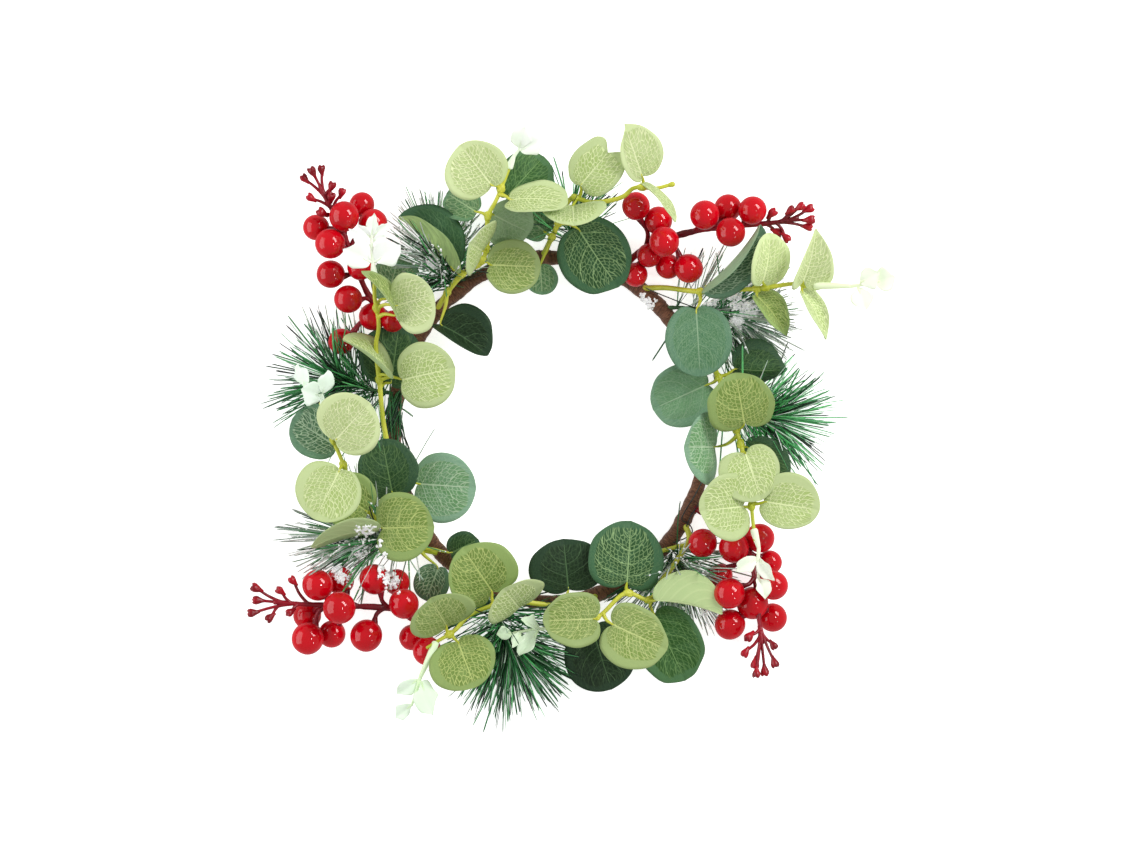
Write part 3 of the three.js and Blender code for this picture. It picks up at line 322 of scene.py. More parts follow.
# Pine sprigs by the course of the core and the needles' length. A snowy one has places where white
# flock lies in clumps, which drift over leaves or keep off them. A stray is a single needle that
# stands apart, and a veil is a number of needles that lie the same way over the ring or a gap.
# Tufts are bunched towards the end of the core, and lean less there by so many degrees.
SPRIGS = {
    1: dict(core=[(-48, 69, 4.5), (-53, 79, 8), (-58, 90, 12)], reach=36, tufts=34, bunching=0.75,
            veil=[((-43, 79, 9), (-62, 74, 8), 26)],
            snow=[(-73, 90, 16, 1), (-76, 100, 14, 0.8), (-60, 84, 12, 0.8)]),
    2: dict(core=[(-77, 18, 4.5), (-93, 21, 8), (-109, 26, 13)], reach=41, tufts=34, bunching=0.6,
            veil=[((-76, 20, 9.5), (-82, -2, 11), 26), ((-79, 16, 9), (-73, -8, 9.5), 10)],
            strays=[((-77, -8, 8), (-73.2, 9.5, 11)), ((-72, -24, 9), (-59, 2, 13)),
                    ((-75, 11, 8.5), (-69.5, 8, 10))]),
    3: dict(core=[(-62, -54, 4.5), (-80, -56, 8), (-98, -53, 12)], reach=40, drifts=True,
            snow=[(-91, -53, 24, 1.1), (-84, -66, 20, 1), (-80, -74, 20, 0.8), (-96, -60, 16, 1),
                  (-105, -72, 20, 0.7)]),
    4: dict(core=[(-28, -81, 4.5), (-25, -95, 9), (-20, -109, 13)], reach=43, glow=1.2, tufts=52,
            veil=[((-27, -87, 8), (-50, -97, 9), 30)]),
    5: dict(core=[(60, -57, 4.5), (63, -64, 7), (67, -72, 10)], reach=38, tufts=34, bunching=0.6,
            veil=[((58, -67, 7.5), (30, -85, 9), 14)],
            snow=[(72, -78, 12, 0.9), (78, -92, 14, 0.8)]),
    6: dict(core=[(78, 10, 4.5), (95, 8.5, 10), (112, 6, 14)], reach=39, glow=1.75, tufts=34, closing=22),
    7: dict(core=[(56, 62, 4.5), (74, 61, 9), (94, 57, 13)], reach=37, rise=0.2,
            snow=[(93, 65, 16, 1), (100, 61, 16, 1), (88, 50, 16, 0.8), (94, 55, 14, 0.8), (82, 64, 16, 0.9),
                  (48.5, 64.5, 10, 0.6), (60.5, 66, 10, 0.5)]),
    8: dict(core=[(14, 86, 4.5), (12, 98, 8), (10, 109, 12)], reach=35, glow=1.5, tufts=14, closing=26),
}

rng = np.random.default_rng(SEED)
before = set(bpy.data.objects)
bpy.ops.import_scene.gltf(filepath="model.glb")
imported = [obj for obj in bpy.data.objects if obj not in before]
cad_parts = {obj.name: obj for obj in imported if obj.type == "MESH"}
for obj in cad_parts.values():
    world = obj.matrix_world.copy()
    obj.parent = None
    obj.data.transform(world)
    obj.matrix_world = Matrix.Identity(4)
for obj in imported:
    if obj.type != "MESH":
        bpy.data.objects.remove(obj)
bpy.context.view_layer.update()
ring_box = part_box("wrapped_ring")
ORIGIN = np.array([ring_box[0].x / MM - RING_LOW_CORNER[0], ring_box[0].y / MM - RING_LOW_CORNER[1], 0.0])


def vec(v):
    return np.array(v, float)


def unit(v):
    return v / norm(v)


def linear(rgb):
    """A colour in linear light from sRGB numbers of 0 to 255."""
    c = np.asarray(rgb, float) / 255
    return np.where(c <= 0.04045, c / 12.92, ((c + 0.055) / 1.055) ** 2.4)


def measured_curve(points, count):
    """Points at equal steps along a centripetal Catmull-Rom curve, as all stems follow, and its length."""
    p = vec(points)
    p = np.vstack([2 * p[0] - p[1], p, 2 * p[-1] - p[-2]])
    dense = []
    t = np.linspace(0, 1, 41)[:, None]
    for a, b, c, d in zip(p[:-3], p[1:-2], p[2:-1], p[3:]):
        ab, bc, cd = [max(norm(v) ** 0.5, 1e-4) for v in (b - a, c - b, d - c)]
        t1 = ((b - a) / ab - (c - a) / (ab + bc) + (c - b) / bc) * bc
        t2 = ((c - b) / bc - (d - b) / (bc + cd) + (d - c) / cd) * bc
        piece = b + t1 * t + (-3 * b + 3 * c - 2 * t1 - t2) * t**2 + (2 * b - 2 * c + t1 + t2) * t**3
        dense.append(piece if not dense else piece[1:])
    dense = np.vstack(dense)
    run = np.concatenate([[0], np.cumsum(norm(np.diff(dense, axis=0), axis=1))])
    at = np.linspace(0, run[-1], count)
    return np.stack([np.interp(at, run, dense[:, k]) for k in range(3)], axis=1), run[-1]


def smooth_curve(points, count):
    """The points alone."""
    return measured_curve(points, count)[0]


def steps(count, at, values):
    """Numbers at equal steps from 0 to 1, on straight lines between the values given."""
    return np.interp(np.linspace(0, 1, count), at, values)


def nearest_on_stem(points, target, back):
    """The place on a stem nearest to a target, a little towards the root, and the stem's direction there."""
    places, length = measured_curve(points, STEM_STEPS + 1)
    lowest = int(np.argmax(places[:, 2] >= CLEAR_OF_TAPE)) if places[-1, 2] >= CLEAR_OF_TAPE else 0
    gaps = norm(places - vec(target), axis=1)
    best = lowest + int(np.argmin(gaps[lowest:]))
    at = int(np.clip(best - back / (length / STEM_STEPS), lowest, STEM_STEPS - 3))
    return places[at], unit(places[at + 1] - places[max(at - 1, 0)])


def new_object(name, data):
    made = bpy.data.objects.new(name, data)
    bpy.context.scene.collection.objects.link(made)
    return made


class Shape:
    """Gathers closed solids of vertices, faces and per-vertex data into one mesh object."""

    def __init__(self):
        self.verts, self.faces, self.slots, self.data, self.count = [], [], [], {}, 0

    def add(self, verts, faces, slot=0, **data):
        verts = np.asarray(verts, float)
        self.verts.append(verts)
        self.faces += [tuple(int(i) + self.count for i in face) for face in faces]
        self.slots += np.broadcast_to(slot, len(faces)).tolist()
        for key, value in data.items():
            self.data.setdefault(key, []).append((self.count, np.broadcast_to(value, (len(verts), 3))))
        self.count += len(verts)

    def make(self, name, materials):
        verts = (np.vstack(self.verts) + ORIGIN) * MM
        mesh = bpy.data.meshes.new(name)
        mesh.from_pydata(verts.tolist(), [], self.faces)
        for material in materials:
            mesh.materials.append(material)
        mesh.polygons.foreach_set("material_index", np.array(self.slots, np.int32))
        mesh.polygons.foreach_set("use_smooth", np.ones(len(self.faces), bool))
        for key, chunks in self.data.items():
            values = np.zeros((self.count, 3), np.float32)
            for start, value in chunks:
                values[start:start + len(value)] = value
            layer = mesh.attributes.new(key, "FLOAT_VECTOR", "POINT")
            layer.data.foreach_set("vector", values.ravel())
        mesh.update()
        return new_object(name, mesh)


def circle(sides, side, other):
    """Points of a circle of radius 1 in the plane of two directions."""
    turn = np.arange(sides) / sides * 2 * pi
    return np.cos(turn)[:, None] * side + np.sin(turn)[:, None] * other


def bands(count, sides, closed=False):
    """Faces between rings of points in a row, and from the last ring to the first if closed."""
    faces = []
    for i in range(count if closed else count - 1):
        n = (i + 1) % count
        for j in range(sides):
            k = (j + 1) % sides
            faces.append((i * sides + j, n * sides + j, n * sides + k, i * sides + k))
    return faces


def capped(count, sides):
    """Faces of a round body whose rings of points are followed by a middle point for each end."""
    first, last = count * sides, (count - 1) * sides
    faces = bands(count, sides)
    for j in range(sides):
        k = (j + 1) % sides
        faces += [(first, j, k), (first + 1, last + k, last + j)]
    return faces


def turned(faces):
    """The same faces, seen from the other side."""
    return [(face[0], *face[:0:-1]) for face in faces]


def tube(points, radii, sides):
    """A closed tube round a line of points."""
    points = np.asarray(points, float)
    radii = np.broadcast_to(np.asarray(radii, float), (len(points),))
    ahead = np.gradient(points, axis=0)
    ahead /= norm(ahead, axis=1)[:, None]
    side = np.cross(ahead[0], [0, 0, 1])
    if norm(side) < 0.05:
        side = np.cross(ahead[0], [0, 1, 0])
    rings = []
    for point, direction, radius in zip(points, ahead, radii):
        side = unit(side - direction * side.dot(direction))
        rings.append(point + radius * circle(sides, side, np.cross(side, direction)))
    ends = [points[:1] - ahead[0] * CAP_RISE * radii[0], points[-1:] + ahead[-1] * CAP_RISE * radii[-1]]
    return np.vstack(rings + ends), capped(len(points), sides)


def ball(middle, radius, aim, segments, rings, dimple=0.0, stretch=1.0):
    """A round body with one pole along aim, which may be drawn in there."""
    aim = unit(np.asarray(aim, float))
    side = unit(np.cross(aim, [0.3, 0.9, 0.2]))
    around = circle(segments, side, np.cross(aim, side))
    verts = []
    for tilt in pi * np.arange(1, rings) / rings:
        r = radius * (1 - dimple * exp(-((tilt / 0.3) ** 2)))
        verts.append(aim * r * cos(tilt) * stretch + r * sin(tilt) * around)
    poles = [[aim * radius * (1 - dimple) * stretch], [-aim * radius * stretch]]
    return np.vstack(verts + poles) + np.asarray(middle, float), capped(rings - 1, segments)


def rotate(v, axis, angle):
    """Rotates a vector about a unit axis."""
    c = cos(angle)
    return v * c + np.cross(axis, v) * sin(angle) + axis * axis.dot(v) * (1 - c)


def blade_frame(base, middle, width, roll=0, fold=6):
    """A blade's base, the direction and length of its midrib, its left and up, and its fold in radians."""
    base, middle = vec(base), vec(middle)
    axis = unit(middle - base)
    left = rotate(unit(vec([-axis[1], axis[0], 0])), axis, radians(roll))
    return base, axis, 2 * norm(middle - base), left, np.cross(axis, left), radians(fold)


def arch(along, length):
    """How far a midrib rises over the straight line from its base to its tip."""
    return BLADE_ARCH * length * 4 * along * (1 - along)


def leaf_mesh(leaf, outline, rows, columns, ripple, skew=None, ragged=0.007):
    """A thin arched blade in rows from its base to its tip: its vertices, the faces of its top and rim, and
    those of its underside. Also gives each vertex of the top its place on the blade: along, across, share of
    the way to the rim and share of the rows."""
    base, axis, length, left, up, fold = blade_frame(*leaf)
    width = leaf[2]
    half = vec(outline)
    shift = rng.normal(0, ragged, half.shape)
    shift[0] = shift[-1] = 0
    skew = rng.normal(0, 0.025) if skew is None else skew
    lean = skew * np.sin(np.linspace(0, pi, len(half)))[:, None] * (0.4, 1.0)
    sides = [np.c_[half + k * shift + k * lean, np.zeros(len(half))] for k in (1, -1)]
    edge, mirror = [smooth_curve(side, rows)[1:-1, None] for side in sides]
    waves = rng.uniform(0, 2 * pi, 4)
    cup = rng.uniform(-0.012, 0.03) * width

    start, stop = half[0, 0], half[-1, 0]
    s = np.linspace(0, 1, rows)[1:-1, None]
    mid = start + (stop - start) * s
    j = np.arange(-columns, columns + 1)
    c = np.abs(j) / columns
    rim = np.where((j >= 0)[:, None], edge, mirror)
    along = mid + (rim[..., 0] - mid) * c**1.15
    across = np.copysign(rim[..., 1] * c, j)
    rise = (np.hypot(across, 0.03) - 0.03) * width * sin(fold) + arch(along, length)
    slow, fast = [np.where(j > 0, waves[k], waves[k + 1]) for k in (0, 2)]
    rise += ripple * c**3 * (np.sin(7 * s + slow) + 0.5 * np.sin(15 * s + fast))
    rise += cup * (4 * across * across - 0.3)
    rise -= MIDRIB_DENT * np.exp(-((across * width / MIDRIB_WIDTH) ** 2))
    place = np.stack(np.broadcast_arrays(along, across, c, s), axis=-1).reshape(-1, 4)
    place = np.vstack([place, (start, 0, 0, 0), (stop, 0, 1, 1)])
    rise = np.append(rise, arch(place[-2:, 0], length) - cup * 0.3)[:, None]
    top = base + place[:, :1] * axis * length + place[:, 1:2] * left * width * cos(fold) + rise * up
    under = top - up * (BLADE_THICKNESS * (1 - 0.6 * place[:, 2:3] ** 4))

    wide = len(j)
    first, final, n = len(top) - 2, len(top) - 1, len(top)
    upper = [(a, a + wide, a + wide + 1, a + 1) for a in range(first - wide) if (a + 1) % wide]
    for k in range(wide - 1):
        a = first - wide + k
        upper += [(first, k, k + 1), (final, a + 1, a)]
    lower = [tuple(n + i for i in reversed(face)) for face in upper]
    loop = [*range(0, first, wide), final, *range(first - 1, 0, -wide), first]
    upper += [(n + p, n + q, q, p) for p, q in zip(loop, loop[1:] + loop[:1])]
    return np.vstack([top, under]), upper, lower, place


def vein_data(place, leaf, lopsided, cell):
    """For each vertex: place on the net in millimetres, and the midrib's distance, the side veins' phase
    and how far inside the net's edge it is. Side veins leave the midrib aslant and bend to follow the rim."""
    along, across, c, share = place.T
    length, width = blade_frame(*leaf)[2], leaf[2]
    shift = rng.uniform(0, 500, 2)
    bend = 0.34 * c + 0.38 * (1 - np.sqrt(1 - (0.96 * c) ** 2))
    net = np.c_[across * width / cell + shift[0], (along - 0.7 * bend) * length / cell + shift[1], share]
    reach = 0.83 - 0.1 * share + lopsided * np.tanh(8 * across)
    mask = np.minimum((reach - c) / 0.05, (0.88 - along) / 0.05)
    return [np.tile(values, (2, 1)) for values in (net, np.c_[np.abs(across) * width, share - bend, mask])]


def add_leaf(shape, leaf, tone, outline, skew):
    """Adds a blade with its colours and veins."""
    verts, upper, lower, place = leaf_mesh(leaf, outline, LEAF_ROWS, LEAF_COLUMNS, LEAF_RIPPLE, skew)
    *colours, (*marks, size) = TONES[tone]
    net, vein = vein_data(place, leaf, rng.uniform(-0.11, 0.11), size)
    cell, line, plain, back = [linear(rgb) * rng.uniform(0.95, 1.05) for rgb in colours]
    shape.add(verts, upper + lower, [0] * len(upper) + [1] * len(lower), net=net, vein=vein,
              cell=cell, line=line, plain=plain, back=back, marks=marks)


def add_stalk(shape, leaf, stem, root_radius, end_radius, reach, **data):
    """A leaf's stalk, from the stem to under the blade's midrib. Gives back where it leaves the stem."""
    base, axis, length, left, up, fold = blade_frame(*leaf)
    root, ahead = nearest_on_stem(stem, base, 0)
    touch = base + axis * 0.03 * length - up * 0.3
    end = base + axis * reach * length - up * (0.45 - arch(reach, length))
    gap = norm(base - root)
    bow = root * 0.55 + touch * 0.45 + ahead * 0.12 * gap - up * 0.06 * gap
    path = smooth_curve([root, bow, touch, end], 10)
    radii = steps(10, [0, 0.25, 0.75, 1], [root_radius * 1.25, root_radius, end_radius, 0.25])
    shape.add(*tube(path, radii, 8), **data)
    return root, ahead


def node_knob(shape, place, ahead, radius):
    """The moulded collar that a stem has where leaves grow from it."""
    line = place + ahead * np.linspace(-2.6, 2.6, len(KNOB_RADII))[:, None]
    shape.add(*tube(line, radius * np.array(KNOB_RADII), 10))
    side = unit(np.cross(ahead, rng.normal(0, 1, 3)))
    for k in range(3):
        away = rotate(side, ahead, 2.1 * k)
        spot = place + away * radius * 1.1 + ahead * rng.uniform(-0.6, 1.0)
        shape.add(*ball(spot, radius * 0.72, ahead, 10, 8, stretch=1.6))


class Nodes:
    """A short way to build a material's nodes."""

    def __init__(self, name):
        self.material = bpy.data.materials.new(name)
        self.material.use_nodes = True
        self.tree = self.material.node_tree
        self.shader = self.tree.nodes["Principled BSDF"]

    def link(self, source, target):
        if isinstance(source, (int, float)):
            target.default_value = source
        elif isinstance(source, (tuple, list, np.ndarray)):
            target.default_value = (*source[:3], 1.0) if len(target.default_value) == 4 else tuple(source[:3])
        else:
            self.tree.links.new(source, target)

    def node(self, kind, inputs, output=0, **settings):
        """Makes a node, fills its inputs, and gives back one of its outputs."""
        made = self.tree.nodes.new(kind)
        for key, value in settings.items():
            setattr(made, key, value)
        for key, value in inputs.items():
            self.link(value, made.inputs[key])
        return made.outputs[output]

    def math(self, operation, *values):
        return self.node("ShaderNodeMath", dict(enumerate(values)), operation=operation)

    def times(self, a, b):
        return self.math("MULTIPLY", a, b)

    def mix(self, share, a, b, blend="MIX"):
        return self.node("ShaderNodeMix", {0: share, 6: a, 7: b}, 2, data_type="RGBA", blend_type=blend)

    def shaded(self, share, colour, by):
        """A colour, in part multiplied by another."""
        return self.mix(share, colour, self.mix(1.0, colour, by, "MULTIPLY"))

    def ramp(self, *values):
        """A soft step by a value, its low and high ends and, where they aren't 0 and 1, what they give."""
        return self.node("ShaderNodeMapRange", dict(enumerate(values)), interpolation_type="SMOOTHSTEP")

    def veins(self, phase, gap, low, high):
        """Lines that come back each time the phase has run through two gaps."""
        return self.ramp(self.math("PINGPONG", self.math("ADD", phase, 1.0), gap), low, high, 1.0, 0.0)

    def attribute(self, name):
        return self.node("ShaderNodeAttribute", {}, "Vector", attribute_name=name)

    def part(self, vector, axis):
        return self.node("ShaderNodeSeparateXYZ", {0: vector}, axis)

    def noise(self, scale, vector=None, detail=2.0, roughness=0.5, output="Fac"):
        vector = self.node("ShaderNodeTexCoord", {}, "Object") if vector is None else vector
        values = {"Vector": vector, "Scale": scale, "Detail": detail, "Roughness": roughness}
        return self.node("ShaderNodeTexNoise", values, output)

    def bump(self, height, depth):
        values = {"Strength": 1.0, "Distance": depth * MM, "Height": height}
        self.set(normal=self.node("ShaderNodeBump", values))

    def set(self, **values):
        for key, value in values.items():
            self.link(value, self.shader.inputs[key.replace("_", " ").title().replace("Ior", "IOR")])
        return self.material


def leaf_material():
    """A moulded leaf's face: a net of pale veins inside a plain rim. The tone comes with each leaf."""
    n = Nodes("leaf_face")
    net, vein, marks, cell, line, plain = map(n.attribute, ("net", "vein", "marks", "cell", "line", "plain"))
    shifts = {0: n.noise(0.8, net, output="Color"), 1: (0.4, 0.4, 0.0), 2: net}
    shifted = n.node("ShaderNodeVectorMath", shifts, operation="MULTIPLY_ADD")
    edge = n.node("ShaderNodeTexVoronoi", {"Vector": shifted, "Scale": 1.0, "Randomness": 0.62}, "Distance",
                  feature="DISTANCE_TO_EDGE", voronoi_dimensions="2D")
    patchy = n.math("MULTIPLY_ADD", n.ramp(n.noise(1.1, net), 0.36, 0.6), 0.3, 0.7)
    fine = n.times(n.times(n.ramp(edge, 0.045, 0.15, 1.0, 0.0), patchy), n.part(marks, 0))
    phase = n.math("ADD", n.part(vein, 1), n.times(n.noise(0.55, net), 0.09))
    side = n.times(n.veins(phase, 0.11, 0.002, 0.012), n.part(marks, 1))
    midrib = n.ramp(n.math("MULTIPLY_ADD", n.part(net, 2), 0.3, n.part(vein, 0)), 0.28, 0.6, 1.0, 0.0)
    ragged = n.math("ADD", n.part(vein, 2), n.math("MULTIPLY_ADD", n.noise(1.3, net), 2.4, -1.2))
    inside = n.ramp(ragged, -0.3, 0.4)
    lines = n.times(n.math("MAXIMUM", n.math("MAXIMUM", fine, side), midrib), inside)
    ground = n.mix(n.ramp(n.noise(0.35, net, 3.0), 0.35, 0.7), cell, n.mix(0.45, cell, plain))
    ground = n.mix(inside, plain, ground)
    frost = n.times(n.ramp(n.noise(3.5, net, 4.0, 0.7), 0.42, 0.68), n.part(marks, 2))
    ground = n.mix(frost, ground, line)
    ground = n.shaded(n.times(n.noise(2.0, net, 3.0), 0.2), ground, (0.6, 0.68, 0.52))
    n.bump(n.math("ADD", lines, n.times(n.noise(5.5, net), 0.35)), 0.2)
    return n.set(base_color=n.mix(n.times(lines, 0.92), ground, line),
                 roughness=n.ramp(n.noise(0.9, net), 0.2, 0.8, 0.42, 0.6), specular_ior_level=0.22)


def underside_material():
    """The plain pale back of a leaf, with faint side veins and a raised midrib."""
    n = Nodes("leaf_back")
    net, vein, back, line, plain = map(n.attribute, ("net", "vein", "back", "line", "plain"))
    side = n.times(n.veins(n.part(vein, 1), 0.085, 0.005, 0.03), 0.4)
    lines = n.math("MAXIMUM", n.ramp(n.part(vein, 0), 0.3, 1.0, 1.0, 0.0), side)
    ground = n.mix(n.ramp(n.noise(0.7, net, 3.0), 0.3, 0.7), back, n.mix(0.3, back, plain))
    n.bump(n.math("ADD", lines, n.times(n.noise(4.5, net, 3.0), 0.5)), 0.2)
    return n.set(base_color=n.mix(n.times(lines, 0.35), ground, line), roughness=0.62, specular_ior_level=0.2)


def moulded_material(name, low, high, scale, roughness, bump, specular=0.5):
    """Moulded plastic whose colour drifts between two tones."""
    n = Nodes(name)
    n.bump(n.noise(scale * 6, detail=3.0), bump)
    return n.set(base_color=n.mix(n.ramp(n.noise(scale, detail=3.0), 0.35, 0.65), linear(low), linear(high)),
                 roughness=roughness, specular_ior_level=specular)


def berry_material():
    """Lacquered red, a little deeper in patches, with very shallow dents under the lacquer."""
    n = Nodes("berry_lacquer")
    n.bump(n.noise(150), 0.03)
    red = n.mix(n.ramp(n.noise(60), 0.35, 0.7), linear((204, 0, 22)), linear((184, 0, 15)))
    return n.set(base_color=red, roughness=n.ramp(n.noise(300), 0.3, 0.7, 0.05, 0.09), ior=1.5,
                 sheen_tint=(1.0, 0.42, 0.5), sheen_weight=0.12, sheen_roughness=0.35)


def tape_material():
    """Brown crepe paper tape: lengthwise wrinkles with painted shade in their folds, a painted dark line of
    shade at the edge of each wrap, and a dry sheen.
    """
    n = Nodes("crepe_tape")
    crepe = n.noise(1.0, n.attribute("lay"), 4.0, 0.6)
    edge = n.ramp(n.part(n.attribute("wrap"), 0), 0.0, 0.22, 1.0, 0.0)
    # Painted shade: the colour follows the crepe bump, darker where the folds lie low.
    base = n.mix(n.ramp(crepe, 0.3, 0.72), linear((74, 42, 30)), linear((146, 98, 72)))
    # Painted shade: a dark band at the proud edge of each wrap, where one wrap steps onto the next.
    base = n.mix(n.times(edge, 0.75), base, linear((40, 20, 14)))
    base = n.mix(n.times(n.noise(60), 0.4), base, linear((112, 66, 46)))
    n.bump(crepe, 0.5)
    return n.set(base_color=base, roughness=0.68, specular_ior_level=0.35, sheen_weight=0.15)


def needle_material():
    n = Nodes("pine_needle")
    n.bump(n.noise(900), 0.03)
    return n.set(base_color=n.shaded(n.times(n.noise(120), 0.4), n.attribute("tint"), (0.6, 0.7, 0.6)),
                 roughness=0.36, specular_ior_level=0.5)


def snow_material():
    """White flock, with a faint painted glow that lifts its shade."""
    n = Nodes("snow_flock")
    n.bump(n.noise(2200, detail=3.0), 0.1)
    drift = n.ramp(n.noise(700, detail=3.0), 0.3, 0.7)
    white = n.mix(drift, linear((228, 228, 230)), linear((252, 252, 252)))
    # The emission is a faint painted glow that lifts the flock's shade, not a lamp.
    return n.set(base_color=white, roughness=0.95, specular_ior_level=0.15, emission_color=(1, 1, 1),
                 emission_strength=0.16)


def pale_tip_material():
    """Nearly white moulded plastic, greener where it is thick, with a faint painted glow in its own tint that
    lifts its shade.
    """
    n = Nodes("pale_tip")
    tint = n.attribute("tint")
    n.bump(n.noise(420, detail=3.0), 0.08)
    # The emission in the tip's own tint is a faint painted glow that lifts the leaves' shade, not a lamp.
    return n.set(base_color=n.shaded(n.ramp(n.noise(70), 0.3, 0.75), tint, (0.9, 0.97, 0.86)), roughness=0.5,
                 specular_ior_level=0.3, emission_color=tint, emission_strength=0.1)


LEAF_FACE = leaf_material()
LEAF_BACK = underside_material()
STEM_GREEN = moulded_material("stem_yellow_green", (176, 184, 44), (208, 208, 70), 60, 0.42, 0.12)
BERRY_RED = berry_material()
BERRY_STEM = moulded_material("berry_stem", (98, 7, 20), (150, 16, 36), 70, 0.3, 0.2, 0.4)
BUD_RED = moulded_material("berry_bud", (126, 8, 24), (180, 16, 36), 90, 0.28, 0.2, 0.4)
TAPE = tape_material()
NEEDLE = needle_material()
SNOW = snow_material()
PALE = pale_tip_material()
CORE = moulded_material("sprig_core", (42, 84, 48), (84, 128, 78), 90, 0.5, 0.1)
WIRE = moulded_material("loose_wire", (20, 22, 22), (52, 56, 54), 90, 0.35, 0.05)


def stem_end(stem):
    """The last point of a stem, and its direction there."""
    end = vec(stem[-1])
    return end, unit(end - vec(stem[-2]))


def make_spray(number, stem, leaves):
    """One leafy stem: a tapering stem with moulded collars, and leaves on their stalks."""
    blades, stems = Shape(), Shape()
    radii = STEM_RADIUS * steps(64, [0, 0.6, 1], [1.15, 0.96, 0.74])
    radii = radii * (1 + 0.05 * np.sin(np.linspace(0, 17, 64) + number))
    stems.add(*tube(smooth_curve(stem, 64), radii, 12))
    if number in STRANDS:
        stems.add(*tube(smooth_curve(STRANDS[number], 40), STEM_RADIUS * 0.85, 10))
    knobs = []
    for count, (base, middle, width, tone, *tilt) in enumerate(leaves, 1):
        leaf = (base, middle, width, *tilt)
        outline = LEAF_OUTLINES[LEAF_SHAPES.get((number, count), "round")]
        add_leaf(blades, leaf, tone, outline, LEAF_SKEWS.get((number, count)))
        root, ahead = add_stalk(stems, leaf, stem, root_radius=0.95, end_radius=0.62, reach=0.07)
        if all(norm(root - other) > KNOB_GAP for other in knobs):
            node_knob(stems, root, ahead, STEM_RADIUS)
            knobs.append(root)
    end, aim = stem_end(stem)
    if number in TIPS:
        stems.add(*tube([end - aim, end + aim * PIN_LENGTH], 0.75, 10))
    else:
        stems.add(*tube([end - aim, end + aim, end + 2 * aim], STEM_RADIUS * np.array([0.8, 1.15, 0.8]), 12))
    blade = blades.make(f"spray_{number}_leaves", [LEAF_FACE, LEAF_BACK])
    wood = stems.make(f"spray_{number}_stem", [STEM_GREEN])
    for piece in (blade, wood):
        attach(piece, "root")
        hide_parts(f"eucalyptus_spray_{number}")
    return blades


def make_tip(number, leaf_tint, twig_tint, course, leaves):
    """A pale tip: a sleeve over the stem's end, a thin twig and small plain leaves."""
    shape = Shape()
    leaf_tint, twig_tint = linear(leaf_tint), linear(twig_tint)
    twig = [vec(p) for p in course]
    end, aim = stem_end(SPRAYS[number][0])
    mouth = end + aim * 0.3
    sleeve = smooth_curve([mouth, mouth + 0.5 * (twig[1] - mouth), twig[1]], 16)
    bulge = steps(16, [0, 0.04, 0.12, 0.6, 1], [1.62, 1.85, 1.9, 1.5, 1.0])
    shape.add(*tube(sleeve, bulge, 14), tint=twig_tint)
    line = smooth_curve([twig[0] + 0.9 * (twig[1] - twig[0])] + twig[1:], 24)
    shape.add(*tube(line, np.linspace(1.0, 0.65, 24), 10), tint=twig_tint)
    for leaf in leaves:
        grid = (TIP_OUTLINE, TIP_ROWS, TIP_COLUMNS)
        verts, upper, lower, _ = leaf_mesh(leaf, *grid, TIP_RIPPLE, ragged=TIP_RAGGED)
        shape.add(verts, upper + lower, tint=leaf_tint * rng.uniform(0.96, 1.0))
        add_stalk(shape, leaf, course[1:], root_radius=0.6, end_radius=0.5, reach=0.3, tint=twig_tint)
    piece = shape.make(f"tip_{number}_pale", [PALE])
    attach(piece, "root")
    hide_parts(f"eucalyptus_tip_{number}")
    return shape


def bud_head(aim, top, size):
    """A bud that widens from its stem like a funnel to three blunt points round a hollow."""
    side = unit(np.cross(aim, [0.2, 0.1, 1.0]))
    around = circle(BUD_SIDES, side, np.cross(aim, side))
    turn = np.arange(BUD_SIDES) / BUD_SIDES * 2 * pi
    points = np.cos(3 * turn + rng.uniform(0, 2 * pi))[:, None]
    rings = []
    for along, radius, pointed in BUD_PROFILE:
        r = size * radius * (1 + 0.16 * pointed * points)
        rings.append(top + size * (along + 0.45 * pointed * points) * aim + r * around)
    ends = [[top + size * BUD_PROFILE[0][0] * aim], [top - size * 0.5 * aim]]
    return np.vstack(rings + ends), turned(capped(len(rings), BUD_SIDES))


